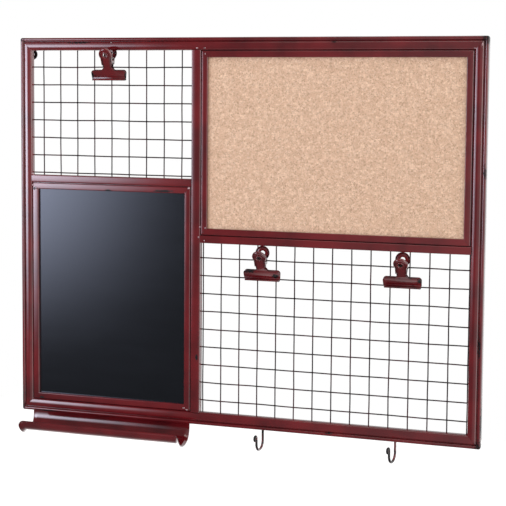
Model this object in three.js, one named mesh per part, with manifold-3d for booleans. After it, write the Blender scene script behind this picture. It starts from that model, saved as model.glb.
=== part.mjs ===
// Wall memo board: a moulded sheet-metal frame that holds a chalkboard, a cork board and two wire
// meshes, with a chalk tray, two hooks and three sprung clips. Millimetres, +Z up, the viewer at -Y.
//
// The board's own frame: x from the middle, y back from the front crown, z up from the top edge.
// The whole part is then moved so that its origin lies on the back of the top rail.

import * as THREE from "three";
import { mergeVertices } from "three/addons/utils/BufferGeometryUtils.js";
import Module from "manifold-3d";

const wasm = await Module();
wasm.setup();

// Clearances
const fit_gap = 0.3;
const weld_tolerance = 0.0005;
const overrun = 1;

// Outer frame
const board_width = 686;
const board_height = 559;
const frame_depth = 16;
const rail_sheet = 1;
const rail_back_flange = 6;
const bead_radius = 2.5;
const bead_setback = 1.4;
const groove_width = 1.2;
const band_width = 6.7;
const shoulder_radius = 2.8;
const crown_rise = 0.5;
const inner_wall_depth = 9.5;

// Post and cross rails
const left_bay_width = 250.8;
const left_mesh_height = 183.5;
const cork_bay_height = 263.9;
const post_width = 14;
const cross_rail_width = 11;

// Inset frames of the chalkboard and the cork board
const inset_width = 9.8;
const inset_sheet = 0.9;
const inset_face_setback = 0.5;
const inset_outer_radius = 1.6;
const inset_inner_radius = 1.2;
const inset_lip_depth = 4.4;
const inset_wall_depth = 12.2;

// Panels and their retaining tabs
const chalkboard_thickness = 5.5;
const cork_thickness = 3;
const backing_thickness = 2.5;
const panel_edge_clearance = 0.4;
const tab_sheet = 0.8;
const tab_width = 12;
const tab_foot = 9;

// Wire meshes
const wire_diameter = 1.8;
const wire_weld_sink = 0.2;
const wire_tuck = 6;
const mesh_pitch_across = 27.23;
const mesh_pitch_down = 26.02;
const left_mesh_first_across = 14.7;
const left_mesh_first_down = 24.4;
const right_mesh_first_across = 1.3;
const right_mesh_first_down = 22.4;

// Chalk tray
const tray_start = 13.6;
const tray_length = 250.7;
const tray_sheet = 1.2;
const tray_radius = 24.5;
const tray_back = 12;
const tray_lip_drop_angle = 14;
const tray_flare = 3.5;
const tray_flare_length = 7;
const tray_corner_radius = 6;

// Coat hooks
const hook_wire = 2.8;
const hook_root_depth = 8;
const hook_leg = 16.3;
const hook_bend_radius = 10.5;
const hook_tip_drop = 7.6;
const hook_curl_radius = 3.2;
const hook_curl_angle = 230;

// Hanger eyes
const eye_sheet = 2;
const eye_ring_radius = 8;
const eye_hole_radius = 3.5;
const eye_tab_width = 11;
const eye_tab_edge = 1.5;
const eye_from_side = 14;
const eye_from_top = 24;

// Sprung clips
const clip_sheet = 0.9;
const clip_bar_width = 53.4;
const clip_bar_height = 14;
const clip_bar_corner = 4.5;
const clip_fillet = 5;
const clip_neck_width = 16.2;
const clip_pad_overhang = 2.2;
const clip_eye_height = 37.6;
const clip_eye_radius = 3.4;
const clip_rim_width = 1.6;
const clip_rim_height = 0.7;
const clip_turned_edge = 2;
const clip_lip_radius = 2;
const clip_lip_angle = 200;
const clip_splay = 16.5;
const clip_pin_to_plate = 7.75;
const clip_pin_depth = -2.5;
const clip_ear_half_height = 5.5;
const clip_boss_radius = 3.3;
const clip_ear_clearance = 0.35;
const pin_radius = 1.2;
const pin_head_radius = 1.9;
const pin_head_length = 1;
const top_clip_pin_drop = 13.4;

// Torsion springs of the clips
const spring_wire = 1.1;
const spring_radius = 2.9;
const spring_pitch = 1.65;
const spring_turns = 5;
const spring_leg_lift = 12;

// Facets
const quarter_steps = 4;
const crown_steps = 4;
const tray_steps = 18;
const wire_sides = 6;
const hook_sides = 8;
const hook_bend_steps = 12;
const hook_curl_steps = 14;
const curl_steps = 8;
const spring_sides = 5;
const pad_steps = 16;
const eye_sides = 16;
const pin_sides = 12;

// Worked out from the sizes above
const rail_width = 2 * bead_radius + groove_width + 2 * shoulder_radius + band_width;
const bay_left = rail_width - board_width / 2;
const post_left = bay_left + left_bay_width;
const post_right = post_left + post_width;
const bay_right = board_width / 2 - rail_width;
const bay_top = -rail_width;
const bay_bottom = rail_width - board_height;
const left_mesh_bottom = bay_top - left_mesh_height;
const cork_bottom = bay_top - cork_bay_height;
const panel_front = inset_lip_depth + fit_gap;
const wire_front_layer = inner_wall_depth + fit_gap + wire_diameter / 2;
const wire_back_layer = wire_front_layer + wire_diameter - wire_weld_sink;

const bays = {
  left_mesh: { left: bay_left, right: post_left, top: bay_top, bottom: left_mesh_bottom },
  chalkboard: { left: bay_left, right: post_left, top: left_mesh_bottom - cross_rail_width, bottom: bay_bottom },
  cork: { left: post_right, right: bay_right, top: bay_top, bottom: cork_bottom },
  right_mesh: { left: post_right, right: bay_right, top: cork_bottom - cross_rail_width, bottom: bay_bottom },
};

// Finishes
function finish(color, roughness, metalness) {
  return new THREE.MeshStandardMaterial({ color, roughness, metalness });
}
const red_paint = finish(0x7a232a, 0.35, 0.2);
const dark_wire = finish(0x2c2224, 0.5, 0.6);
const chalk_black = finish(0x24272b, 0.45, 0);
const cork_tan = finish(0xe0bc9b, 0.9, 0);
const board_brown = finish(0x6b5138, 0.85, 0);
const dark_steel = finish(0x3a3234, 0.4, 0.8);

function radians(degrees) {
  return THREE.MathUtils.degToRad(degrees);
}

function point(across, deep) {
  return new THREE.Vector2(across, deep);
}

// A round stretch of a section, from one angle to another in degrees
function arc(centre, radius, from, to, steps) {
  return Array.from({ length: steps + 1 }, (_, i) => {
    const angle = radians(from + ((to - from) * i) / steps);
    return point(centre.x + radius * Math.cos(angle), centre.y + radius * Math.sin(angle));
  });
}

// The closed section of bent sheet: a line and its offset to the left by the sheet's thickness
function sheet(line, thickness) {
  const path = line.filter((p, i) => i === 0 || p.distanceTo(line[i - 1]) > weld_tolerance);
  const normals = path.slice(1).map((p, i) => {
    const along = p.clone().sub(path[i]).normalize();
    return point(-along.y, along.x);
  });
  const offset = path.map((p, i) => {
    const before = normals[Math.max(i - 1, 0)];
    const after = normals[Math.min(i, normals.length - 1)];
    const mitre = before.clone().add(after).divideScalar(1 + before.dot(after));
    return p.clone().addScaledVector(mitre, thickness);
  });
  return [...path, ...offset.reverse()];
}

// Solids for cutting and joining
function solidOf(geometry) {
  const bare = geometry.clone();
  bare.deleteAttribute("normal");
  bare.deleteAttribute("uv");
  const merged = mergeVertices(bare, weld_tolerance);
  const mesh = new wasm.Mesh({
    numProp: 3,
    vertProperties: new Float32Array(merged.getAttribute("position").array),
    triVerts: new Uint32Array(merged.getIndex().array),
  });
  return new wasm.Manifold(mesh);
}

function geometryOf(solid) {
  const mesh = solid.getMesh();
  const geometry = new THREE.BufferGeometry();
  geometry.setAttribute("position", new THREE.BufferAttribute(mesh.vertProperties, 3));
  geometry.setIndex(new THREE.BufferAttribute(mesh.triVerts, 1));
  return geometry;
}

function joined(geometries) {
  return geometries.map(solidOf).reduce((whole, next) => whole.add(next));
}

function extruded(outline, depth) {
  const shape = Array.isArray(outline) ? new THREE.Shape(outline) : outline;
  return new THREE.ExtrudeGeometry(shape, { depth, steps: 1, bevelEnabled: false, curveSegments: 2 * quarter_steps });
}

// An outline drawn in x and z, extruded back from y = front
function extrudedBack(outline, front, depth) {
  return extruded(outline, depth).rotateX(Math.PI / 2).translate(0, front + depth, 0);
}

// A section drawn in y and z, extruded along x and centred
const section_to_x = new THREE.Matrix4().set(0, 0, 1, 0, 1, 0, 0, 0, 0, 1, 0, 0, 0, 0, 0, 1);
function extrudedAcross(section, width) {
  return extruded(section, width).translate(0, 0, -width / 2).applyMatrix4(section_to_x);
}

function named(name, geometry, material) {
  const mesh = new THREE.Mesh(geometry, material);
  mesh.name = name;
  return mesh;
}

function placed(item, x, y, z) {
  item.position.set(x, y, z);
  return item;
}

// A rail along x with its outer edge on z = 0 and the section's width going down. Mitred ends slope
// with the section's width, square ends stand off by the fitting gap.
function rail(section, length, mitred) {
  const geometry = extruded(section, 1);
  const place = geometry.getAttribute("position");
  const setback = mitred ? fit_gap * Math.SQRT1_2 : fit_gap;
  for (let i = 0; i < place.count; i += 1) {
    const inward = place.getX(i);
    const side = 2 * place.getZ(i) - 1;
    const half = length / 2 - setback - (mitred ? inward : 0);
    place.setXYZ(i, side * half, place.getY(i), -inward);
  }
  geometry.computeVertexNormals();
  return geometry;
}

// Four mitred rails round a rectangle whose top left corner is given
function mitredFrame(prefix, section, left, top, width, height) {
  const frame = new THREE.Group();
  const across = rail(section, width, true);
  const upright = rail(section, height, true);
  const sides = [
    ["top", across, 0, 0, 0],
    ["bottom", across, 0, -height, Math.PI],
    ["left", upright, -width / 2, -height / 2, -Math.PI / 2],
    ["right", upright, width / 2, -height / 2, Math.PI / 2],
  ];
  for (const [side, geometry, x, z, turn] of sides) {
    const mesh = placed(named(`${prefix}_${side}_rail`, geometry, red_paint), x, 0, z);
    mesh.rotation.y = turn;
    frame.add(mesh);
  }
  return placed(frame, left + width / 2, 0, top);
}

// The domed band that the rails, the post and the cross rails all have between two shoulders
function domedBand(start, end) {
  const level = crown_rise + shoulder_radius;
  const first = start + shoulder_radius;
  const last = end - shoulder_radius;
  const dome = Array.from({ length: crown_steps - 1 }, (_, i) => {
    const share = (i + 1) / crown_steps;
    return point(first + (last - first) * share, crown_rise * (1 - 4 * share * (1 - share)));
  });
  return [
    ...arc(point(first, level), shoulder_radius, 180, 270, quarter_steps),
    ...dome,
    ...arc(point(last, level), shoulder_radius, 270, 360, quarter_steps),
    point(end, inner_wall_depth),
  ];
}

// Outer rail: back flange, outer wall, round bead, groove, domed band and inner wall
function outerRailSection() {
  const bead = arc(point(bead_radius, bead_setback + bead_radius), bead_radius, 180, 360, 2 * quarter_steps);
  const band_start = 2 * bead_radius + groove_width;
  const line = [
    point(rail_back_flange, frame_depth),
    point(0, frame_depth),
    ...bead,
    point(band_start, bead_setback + bead_radius),
    ...domedBand(band_start, rail_width),
  ];
  return sheet(line, rail_sheet);
}

function channelSection(width) {
  return sheet([point(0, inner_wall_depth), ...domedBand(0, width)], rail_sheet);
}

// Inset frame: outer wall, flat face with two eased edges and a lip down to the panel
function insetSection() {
  const outer = point(inset_outer_radius, inset_face_setback + inset_outer_radius);
  const inner = point(inset_width - inset_inner_radius, inset_face_setback + inset_inner_radius);
  const line = [
    point(0, inset_wall_depth),
    ...arc(outer, inset_outer_radius, 180, 270, quarter_steps),
    ...arc(inner, inset_inner_radius, 270, 360, quarter_steps),
    point(inset_width, inset_lip_depth),
  ];
  return sheet(line, inset_sheet);
}

// Sprung clip, modelled round its pin: x along the pin, jaws down. Both plates lie at the same
// distance from the pin and meet at the jaw's lip.
const splay = radians(clip_splay);
const jaw_reach = (clip_pin_to_plate * Math.cos(splay) - fit_gap / 2) / Math.sin(splay);
const jaw_bottom = -jaw_reach - clip_lip_radius;
const bar_top = jaw_bottom + clip_bar_height;
const pad_height = jaw_bottom + clip_eye_height;
const pad_radius = clip_neck_width / 2 + clip_pad_overhang;
const pad_top = pad_height + pad_radius;
const back_neck_width = clip_neck_width - 2 * (clip_sheet + clip_ear_clearance);
const pin_hole_radius = pin_radius + fit_gap;

// The pad's round edge, from one side of the neck over the top to the other
function padEdge(half_neck, radius) {
  const start = THREE.MathUtils.radToDeg(Math.asin(half_neck / radius));
  return arc(point(0, pad_height), radius, 270 - start, start - 90, pad_steps);
}

function plateOutline(neck_width) {
  const half_bar = clip_bar_width / 2;
  const half_neck = neck_width / 2;
  const corner = point(clip_bar_corner - half_bar, bar_top - clip_bar_corner);
  const fillet = point(-half_neck - clip_fillet, bar_top + clip_fillet);
  const left = [
    point(-half_bar, jaw_bottom - overrun),
    ...arc(corner, clip_bar_corner, 180, 90, quarter_steps),
    ...arc(fillet, clip_fillet, 270, 360, quarter_steps),
  ];
  const right = left.map((p) => point(-p.x, p.y)).reverse();
  return [...left, ...padEdge(half_neck, pad_radius), ...right];
}

// Side view of a plate: flat, then rolled outwards at the jaw
function plateProfile() {
  const face = -clip_pin_to_plate;
  const roll_centre = point(face - clip_lip_radius, -jaw_reach);
  const line = [
    point(face, pad_top + overrun),
    ...arc(roll_centre, clip_lip_radius, 0, -clip_lip_angle, 2 * quarter_steps + 1),
  ];
  return sheet(line, -clip_sheet);
}

// The edge turned in along the neck and round the pad
function turnedEdge(neck_width) {
  const front = -clip_pin_to_plate - clip_sheet;
  const depth = clip_sheet + clip_turned_edge;
  const low = bar_top + clip_fillet;
  const walls = [0, clip_sheet].map((inset) => {
    const half_neck = neck_width / 2 - inset;
    const start = low - (inset > 0 ? overrun : 0);
    const pad = padEdge(half_neck, pad_radius - inset);
    const outline = [point(-half_neck, start), ...pad, point(half_neck, start)];
    return solidOf(extrudedBack(outline, front, depth));
  });
  return walls[0].subtract(walls[1]);
}

function ears(neck_width) {
  const face = -clip_pin_to_plate - clip_sheet;
  const outline = [
    point(face, -clip_ear_half_height),
    ...arc(point(0, 0), clip_boss_radius, -90, 90, 2 * quarter_steps),
    point(face, clip_ear_half_height),
  ];
  const middle = (neck_width - clip_sheet) / 2;
  return [-middle, middle].map((x) => extrudedAcross(outline, clip_sheet).translate(x, 0, 0));
}

// A raised rim round the hole in the pad
function eyeRim() {
  const root = clip_sheet / 2;
  const chamfer = clip_rim_height / 2;
  const outer = clip_eye_radius + clip_rim_width;
  const profile = [
    point(clip_eye_radius, -root),
    point(outer, -root),
    point(outer, clip_rim_height - chamfer),
    point(outer - chamfer, clip_rim_height),
    point(clip_eye_radius + chamfer, clip_rim_height),
    point(clip_eye_radius, clip_rim_height - chamfer),
    point(clip_eye_radius, -root),
  ];
  return new THREE.LatheGeometry(profile, eye_sides)
    .rotateX(Math.PI)
    .translate(0, -clip_pin_to_plate - clip_sheet, pad_height);
}

// One jaw plate with its handle, lying in front of the pin
function jawPlate(neck_width) {
  const depth = clip_pin_to_plate + 2 * clip_lip_radius + overrun;
  const blank = solidOf(extrudedBack(plateOutline(neck_width), -depth, depth));
  const bent = solidOf(extrudedAcross(plateProfile(), clip_bar_width + overrun));
  const eye = new THREE.CylinderGeometry(clip_eye_radius, clip_eye_radius, 2 * depth, eye_sides)
    .translate(0, 0, pad_height);
  const pin_hole = new THREE.CylinderGeometry(pin_hole_radius, pin_hole_radius, clip_bar_width, pin_sides)
    .rotateZ(Math.PI / 2);
  const plate = blank
    .intersect(bent)
    .subtract(solidOf(eye))
    .add(turnedEdge(neck_width))
    .add(solidOf(eyeRim()))
    .add(joined(ears(neck_width)))
    .subtract(solidOf(pin_hole));
  return geometryOf(plate);
}

function pivotPin() {
  const inside = clip_neck_width / 2 + fit_gap;
  const outside = inside + pin_head_length;
  const profile = [
    point(0, -outside),
    point(pin_head_radius, -outside),
    point(pin_head_radius, -inside),
    point(pin_radius, -inside),
    point(pin_radius, inside),
    point(pin_head_radius, inside),
    point(pin_head_radius, outside),
    point(0, outside),
  ];
  return new THREE.LatheGeometry(profile, pin_sides).rotateZ(Math.PI / 2);
}

// A wire's route through given points, with one ring of its tube at each point
class Route extends THREE.Curve {
  constructor(points) {
    super();
    this.points = points;
  }

  getPoint(t) {
    const place = t * (this.points.length - 1);
    const first = Math.min(Math.floor(place), this.points.length - 2);
    return this.points[first].clone().lerp(this.points[first + 1], place - first);
  }

  getPointAt(u) {
    return this.getPoint(u);
  }

  getTangentAt(u) {
    const last = this.points.length - 1;
    const at = Math.round(u * last);
    const legs = [
      [Math.max(at - 1, 0), Math.max(at, 1)],
      [Math.min(at, last - 1), Math.min(at + 1, last)],
    ];
    const [before, after] = legs.map(([a, b]) => this.points[b].clone().sub(this.points[a]).normalize());
    return before.add(after).normalize();
  }
}

function tube(points, radius, sides) {
  const section = Array.from({ length: sides }, (_, i) => {
    const angle = (2 * Math.PI * i) / sides;
    return point(radius * Math.cos(angle), radius * Math.sin(angle));
  });
  const extrudePath = new Route(points);
  return new THREE.ExtrudeGeometry(new THREE.Shape(section), { steps: points.length - 1, extrudePath });
}

// The torsion spring's middle line: a leg in from the front plate, the curls, a leg out to the back
function springRoute() {
  const turn_in = radians(180 + clip_splay - spring_leg_lift);
  const turn_out = Math.PI - turn_in;
  const reach = clip_pin_to_plate - fit_gap;
  const elbow = reach - spring_wire;
  const lead = Math.acos(spring_radius / elbow);
  const sweep = turn_in - turn_out - 2 * lead + 2 * Math.PI * spring_turns;
  const steps = Math.ceil((sweep / (2 * Math.PI)) * curl_steps);
  const length = (spring_pitch * sweep) / (2 * Math.PI);
  const at = (radius, angle, x) => new THREE.Vector3(x, radius * Math.cos(angle), radius * Math.sin(angle));
  const curls = Array.from({ length: steps + 1 }, (_, i) => {
    const share = i / steps;
    return at(spring_radius, turn_in - lead - sweep * share, length * (share - 1 / 2));
  });
  return [
    at(reach, turn_in, -length / 2),
    at(elbow, turn_in, -length / 2),
    ...curls,
    at(elbow, turn_out, length / 2),
    at(reach, turn_out, length / 2),
  ];
}

// The least clear distance between two stretches of a tube that don't follow one another
function leastGap(points, diameter) {
  const fine = new Route(points);
  const samples = (points.length - 1) * curl_steps;
  const places = Array.from({ length: samples + 1 }, (_, i) => fine.getPoint(i / samples));
  const half_turn = (curl_steps * curl_steps) / 2;
  let least = Infinity;
  for (let i = 0; i < places.length; i += 1) {
    for (let j = i + half_turn; j < places.length; j += 1) {
      least = Math.min(least, places[i].distanceTo(places[j]));
    }
  }
  return least - diameter;
}

const front_plate = jawPlate(clip_neck_width);
const back_plate = jawPlate(back_neck_width);
const pin = pivotPin();
const spring_points = springRoute();
const spring = tube(spring_points, spring_wire / 2, spring_sides);
console.log(`spring: least gap to itself ${leastGap(spring_points, spring_wire).toFixed(2)} mm`);

// Height of the back pad's top over the pin when the clip leans forward by an angle
function padRise(lean) {
  const tilt = lean - splay;
  return pad_top * Math.cos(tilt) + (clip_pin_to_plate - clip_turned_edge) * Math.sin(tilt);
}

function clip(name, lean) {
  const group = new THREE.Group();
  const front_jaw = named(`${name}_front_jaw`, front_plate, red_paint);
  front_jaw.rotation.x = splay;
  const back_jaw = named(`${name}_back_jaw`, back_plate, red_paint);
  back_jaw.rotation.set(-splay, 0, Math.PI);
  group.add(front_jaw, back_jaw);
  group.add(named(`${name}_pivot_pin`, pin, dark_steel));
  group.add(named(`${name}_torsion_spring`, spring, dark_steel));
  group.rotation.x = lean;
  return group;
}

// Where the clips hang: the share of their bay's width, and how far each leans forward
const clip_shares = { clip_1: 0.495, clip_2: 0.24, clip_3: 0.76 };
const clip_leans = { clip_1: radians(7.5), clip_2: radians(13.5), clip_3: radians(15.5) };

function across(bay, share) {
  return bay.left + (bay.right - bay.left) * share;
}

function clips() {
  const under_top_rail = bays.left_mesh;
  const under_cross_rail = bays.right_mesh;
  const hang = (name, bay, drop) => {
    const x = across(bay, clip_shares[name]);
    return placed(clip(name, clip_leans[name]), x, clip_pin_depth, bay.top - drop);
  };
  return [
    hang("clip_1", under_top_rail, top_clip_pin_drop),
    hang("clip_2", under_cross_rail, fit_gap + padRise(clip_leans.clip_2)),
    hang("clip_3", under_cross_rail, fit_gap + padRise(clip_leans.clip_3)),
  ];
}

// The top clip's pad goes up into the top rail, through a notch in the rail's inner wall
function notchTopRail(top_rail) {
  const tilt = clip_leans.clip_1 - splay;
  const pad_edge = (clip_pin_to_plate - clip_turned_edge) / Math.cos(tilt);
  const notch_front = clip_pin_depth + pad_edge - top_clip_pin_drop * Math.tan(tilt) - fit_gap;
  const pad_centre_drop = top_clip_pin_drop - pad_height * Math.cos(tilt);
  const half_chord = Math.sqrt(Math.max(pad_radius ** 2 - pad_centre_drop ** 2, 0));
  const x = across(bays.left_mesh, clip_shares.clip_1);
  const left = x - half_chord - 2 * fit_gap;
  const right = x + half_chord + 2 * fit_gap;
  const low = bay_top - overrun;
  const high = bay_top + rail_sheet + fit_gap;
  const outline = [point(left, low), point(right, low), point(right, high), point(left, high)];
  const notch = solidOf(extrudedBack(outline, notch_front, frame_depth - notch_front));
  top_rail.geometry = geometryOf(solidOf(top_rail.geometry).subtract(notch));
}

// Outer frame, post and cross rails
function outerFrame() {
  const frame = mitredFrame("frame", outerRailSection(), -board_width / 2, 0, board_width, board_height);
  notchTopRail(frame.getObjectByName("frame_top_rail"));
  return frame;
}

function dividers() {
  const post_height = bay_top - bay_bottom;
  const post = named("centre_post", rail(channelSection(post_width), post_height, false), red_paint);
  post.rotation.y = -Math.PI / 2;
  placed(post, post_left, 0, (bay_top + bay_bottom) / 2);
  const cross_rails = [
    ["left_cross_rail", bays.left_mesh],
    ["right_cross_rail", bays.cork],
  ].map(([name, bay]) => {
    const geometry = rail(channelSection(cross_rail_width), bay.right - bay.left, false);
    return placed(named(name, geometry, red_paint), (bay.left + bay.right) / 2, 0, bay.bottom);
  });
  return [post, ...cross_rails];
}

// Inset frames, panels and the tabs that hold the panels from behind
function insetFrame(prefix, bay) {
  const width = bay.right - bay.left - 2 * fit_gap;
  const height = bay.top - bay.bottom - 2 * fit_gap;
  return mitredFrame(prefix, insetSection(), bay.left + fit_gap, bay.top - fit_gap, width, height);
}

function panel(name, bay, front, thickness, material) {
  const edge = fit_gap + inset_sheet + panel_edge_clearance;
  const width = bay.right - bay.left - 2 * edge;
  const height = bay.top - bay.bottom - 2 * edge;
  const mesh = named(name, new THREE.BoxGeometry(width, thickness, height), material);
  return placed(mesh, (bay.left + bay.right) / 2, front + thickness / 2, (bay.top + bay.bottom) / 2);
}

function retainingTabs(prefix, bay, panel_back, along_top, along_side) {
  const leg = inset_sheet + fit_gap;
  const foot = panel_back + fit_gap;
  const section = sheet(
    [point(leg, inset_wall_depth), point(leg, foot), point(leg + tab_foot, foot)],
    tab_sheet,
  );
  const geometry = rail(section, tab_width + 2 * fit_gap, false);
  const middle_x = (bay.left + bay.right) / 2;
  const middle_z = (bay.top + bay.bottom) / 2;
  const width = bay.right - bay.left;
  const height = bay.top - bay.bottom;
  const places = [
    ...along_top.map((share) => [middle_x + width * share, bay.top - fit_gap, 0]),
    ...along_top.map((share) => [middle_x + width * share, bay.bottom + fit_gap, Math.PI]),
    ...along_side.map((share) => [bay.left + fit_gap, middle_z + height * share, -Math.PI / 2]),
    ...along_side.map((share) => [bay.right - fit_gap, middle_z + height * share, Math.PI / 2]),
  ];
  return places.map(([x, z, turn], i) => {
    const tab = placed(named(`${prefix}_tab_${i + 1}`, geometry, dark_steel), x, 0, z);
    tab.rotation.y = turn;
    return tab;
  });
}

function chalkboard() {
  const bay = bays.chalkboard;
  const side_shares = [-0.28, 0.28];
  return [
    insetFrame("chalk", bay),
    panel("chalkboard_panel", bay, panel_front, chalkboard_thickness, chalk_black),
    ...retainingTabs("chalk", bay, panel_front + chalkboard_thickness, [], side_shares),
  ];
}

function corkBoard() {
  const bay = bays.cork;
  const top_shares = [-0.27, 0.27];
  const backing_front = panel_front + cork_thickness;
  return [
    insetFrame("cork", bay),
    panel("cork_sheet", bay, panel_front, cork_thickness, cork_tan),
    panel("cork_backing_board", bay, backing_front, backing_thickness, board_brown),
    ...retainingTabs("cork", bay, backing_front + backing_thickness, top_shares, [0]),
  ];
}

// Wire meshes: wires across in front, wires down behind, sunk into each other where they are welded
function wire(length, first_corner) {
  const radius = wire_diameter / 2 / Math.cos(Math.PI / wire_sides);
  return new THREE.CylinderGeometry(radius, radius, length, wire_sides, 1, false, first_corner);
}

function wireMesh(name, bay, first_across, first_down) {
  const width = bay.right - bay.left;
  const height = bay.top - bay.bottom;
  const down_count = Math.floor((width - first_across) / mesh_pitch_across) + 1;
  const across_count = Math.floor((height - first_down) / mesh_pitch_down) + 1;
  const middle_x = (bay.left + bay.right) / 2;
  const middle_z = (bay.top + bay.bottom) / 2;
  const wires_across = Array.from({ length: across_count }, (_, i) =>
    wire(width + 2 * wire_tuck, 0)
      .rotateZ(Math.PI / 2)
      .translate(middle_x, wire_front_layer, bay.top - first_down - i * mesh_pitch_down),
  );
  const wires_down = Array.from({ length: down_count }, (_, i) =>
    wire(height + 2 * wire_tuck, Math.PI / wire_sides)
      .rotateX(Math.PI / 2)
      .translate(bay.left + first_across + i * mesh_pitch_across, wire_back_layer, middle_z),
  );
  return named(name, geometryOf(joined([...wires_across, ...wires_down])), dark_wire);
}

// A body drawn through rings of equal count that follow one another along x
function loft(rings) {
  const count = rings[0].length;
  const positions = rings.flatMap((ring) => ring.flatMap((p) => [p.x, p.y, p.z]));
  const index = [];
  for (let ring = 0; ring < rings.length - 1; ring += 1) {
    for (let i = 0; i < count; i += 1) {
      const low = ring * count;
      const high = low + count;
      const next = (i + 1) % count;
      index.push(low + i, low + next, high + next, low + i, high + next, high + i);
    }
  }
  const cap = (ring) => THREE.ShapeUtils.triangulateShape(ring.map((p) => point(p.y, p.z)), []);
  const last = (rings.length - 1) * count;
  for (const [a, b, c] of cap(rings[0])) index.push(a, c, b);
  for (const [a, b, c] of cap(rings[rings.length - 1])) index.push(last + a, last + b, last + c);
  const geometry = new THREE.BufferGeometry();
  geometry.setAttribute("position", new THREE.Float32BufferAttribute(positions, 3));
  geometry.setIndex(index);
  geometry.computeVertexNormals();
  return geometry;
}

// Half-round tray: the ends are belled out and the front lip's corners are rounded off
function chalkTray() {
  const centre_y = tray_back - tray_radius;
  const centre_z = -board_height - fit_gap;
  const full = Math.PI - radians(tray_lip_drop_angle);
  const station_shares = [0, 0.12, 0.28, 0.48, 0.72, 1];
  const reach = Math.max(tray_flare_length, tray_corner_radius);
  const ring = (x, from_end) => {
    const flare = tray_flare * (1 - Math.min(from_end / tray_flare_length, 1)) ** 2;
    const left = Math.max(tray_corner_radius - from_end, 0);
    const cut = tray_corner_radius - Math.sqrt(tray_corner_radius ** 2 - left ** 2);
    const sweep = full - cut / tray_radius;
    const surface = (thickness) =>
      Array.from({ length: tray_steps + 1 }, (_, i) => {
        const angle = (sweep * i) / tray_steps;
        const share = Math.sin(Math.min(angle, Math.PI / 2)) ** 2;
        const radius = tray_radius + flare * share + thickness;
        return new THREE.Vector3(x, centre_y + radius * Math.cos(angle), centre_z - radius * Math.sin(angle));
      });
    return [...surface(0), ...surface(tray_sheet).reverse()];
  };
  const start = tray_start - board_width / 2;
  const end = start + tray_length;
  const rings = [
    ...station_shares.map((share) => ring(start + reach * share, reach * share)),
    ...station_shares.toReversed().map((share) => ring(end - reach * share, reach * share)),
  ];
  return named("chalk_tray", loft(rings), red_paint);
}

// Wire hook: a leg down, a round bend forward, and a tip curled outwards
function hook(name, share, turn) {
  const bottom_bend = -hook_leg;
  const tip = fit_gap - hook_tip_drop;
  const curl_centre = point(2 * hook_bend_radius + hook_curl_radius, tip);
  const line = [
    point(0, 0),
    ...arc(point(hook_bend_radius, bottom_bend), hook_bend_radius, 180, 360, hook_bend_steps),
    ...arc(curl_centre, hook_curl_radius, 180, 180 - hook_curl_angle, hook_curl_steps),
  ];
  const points = line.map((p) => new THREE.Vector3(0, -p.x, p.y));
  const mesh = named(name, tube(points, hook_wire / 2, hook_sides), red_paint);
  mesh.rotation.z = -turn;
  return placed(mesh, across(bays.right_mesh, share), hook_root_depth, -board_height - fit_gap);
}

const hook_shares = [0.245, 0.743];
const hook_turns = [radians(9), radians(13)];

// Stamped hanger eye, lying on the inside of the side rail's back flange
function hangerEye(name, side) {
  const half_tab = eye_tab_width / 2;
  const start = Math.PI - Math.asin(half_tab / eye_ring_radius);
  const inward = eye_from_side - eye_tab_edge;
  const shape = new THREE.Shape();
  shape.moveTo(-inward, -half_tab);
  shape.absarc(0, 0, eye_ring_radius, -start, start, false);
  shape.lineTo(-inward, half_tab);
  const hole = new THREE.Path();
  hole.absarc(0, 0, eye_hole_radius, 0, 2 * Math.PI, true);
  shape.holes.push(hole);
  const front = frame_depth - rail_sheet - fit_gap - eye_sheet;
  const geometry = extrudedBack(shape, 0, eye_sheet);
  if (side > 0) geometry.rotateZ(Math.PI).translate(0, eye_sheet, 0);
  const x = side * (board_width / 2 - eye_from_side);
  return placed(named(name, geometry, dark_steel), x, front, -eye_from_top);
}

const board = new THREE.Group();
board.add(outerFrame(), ...dividers());
board.add(...chalkboard(), ...corkBoard());
board.add(wireMesh("left_wire_mesh", bays.left_mesh, left_mesh_first_across, left_mesh_first_down));
board.add(wireMesh("right_wire_mesh", bays.right_mesh, right_mesh_first_across, right_mesh_first_down));
board.add(...clips());
board.add(chalkTray());
board.add(...hook_shares.map((share, i) => hook(`hook_${i + 1}`, share, hook_turns[i])));
board.add(hangerEye("hanger_eye_left", -1), hangerEye("hanger_eye_right", 1));
board.position.set(0, -frame_depth, rail_back_flange / 2);

const memo_board = new THREE.Group();
memo_board.add(board);

export default memo_board;
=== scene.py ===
"""Wall memo board: the visible pieces, finishes, floor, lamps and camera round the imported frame."""

import math
from functools import partial

import bmesh
import bpy
from bpy.props import FloatProperty, FloatVectorProperty, IntProperty, PointerProperty
from mathutils import Matrix, Vector, noise
from mathutils.geometry import delaunay_2d_cdt


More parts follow.
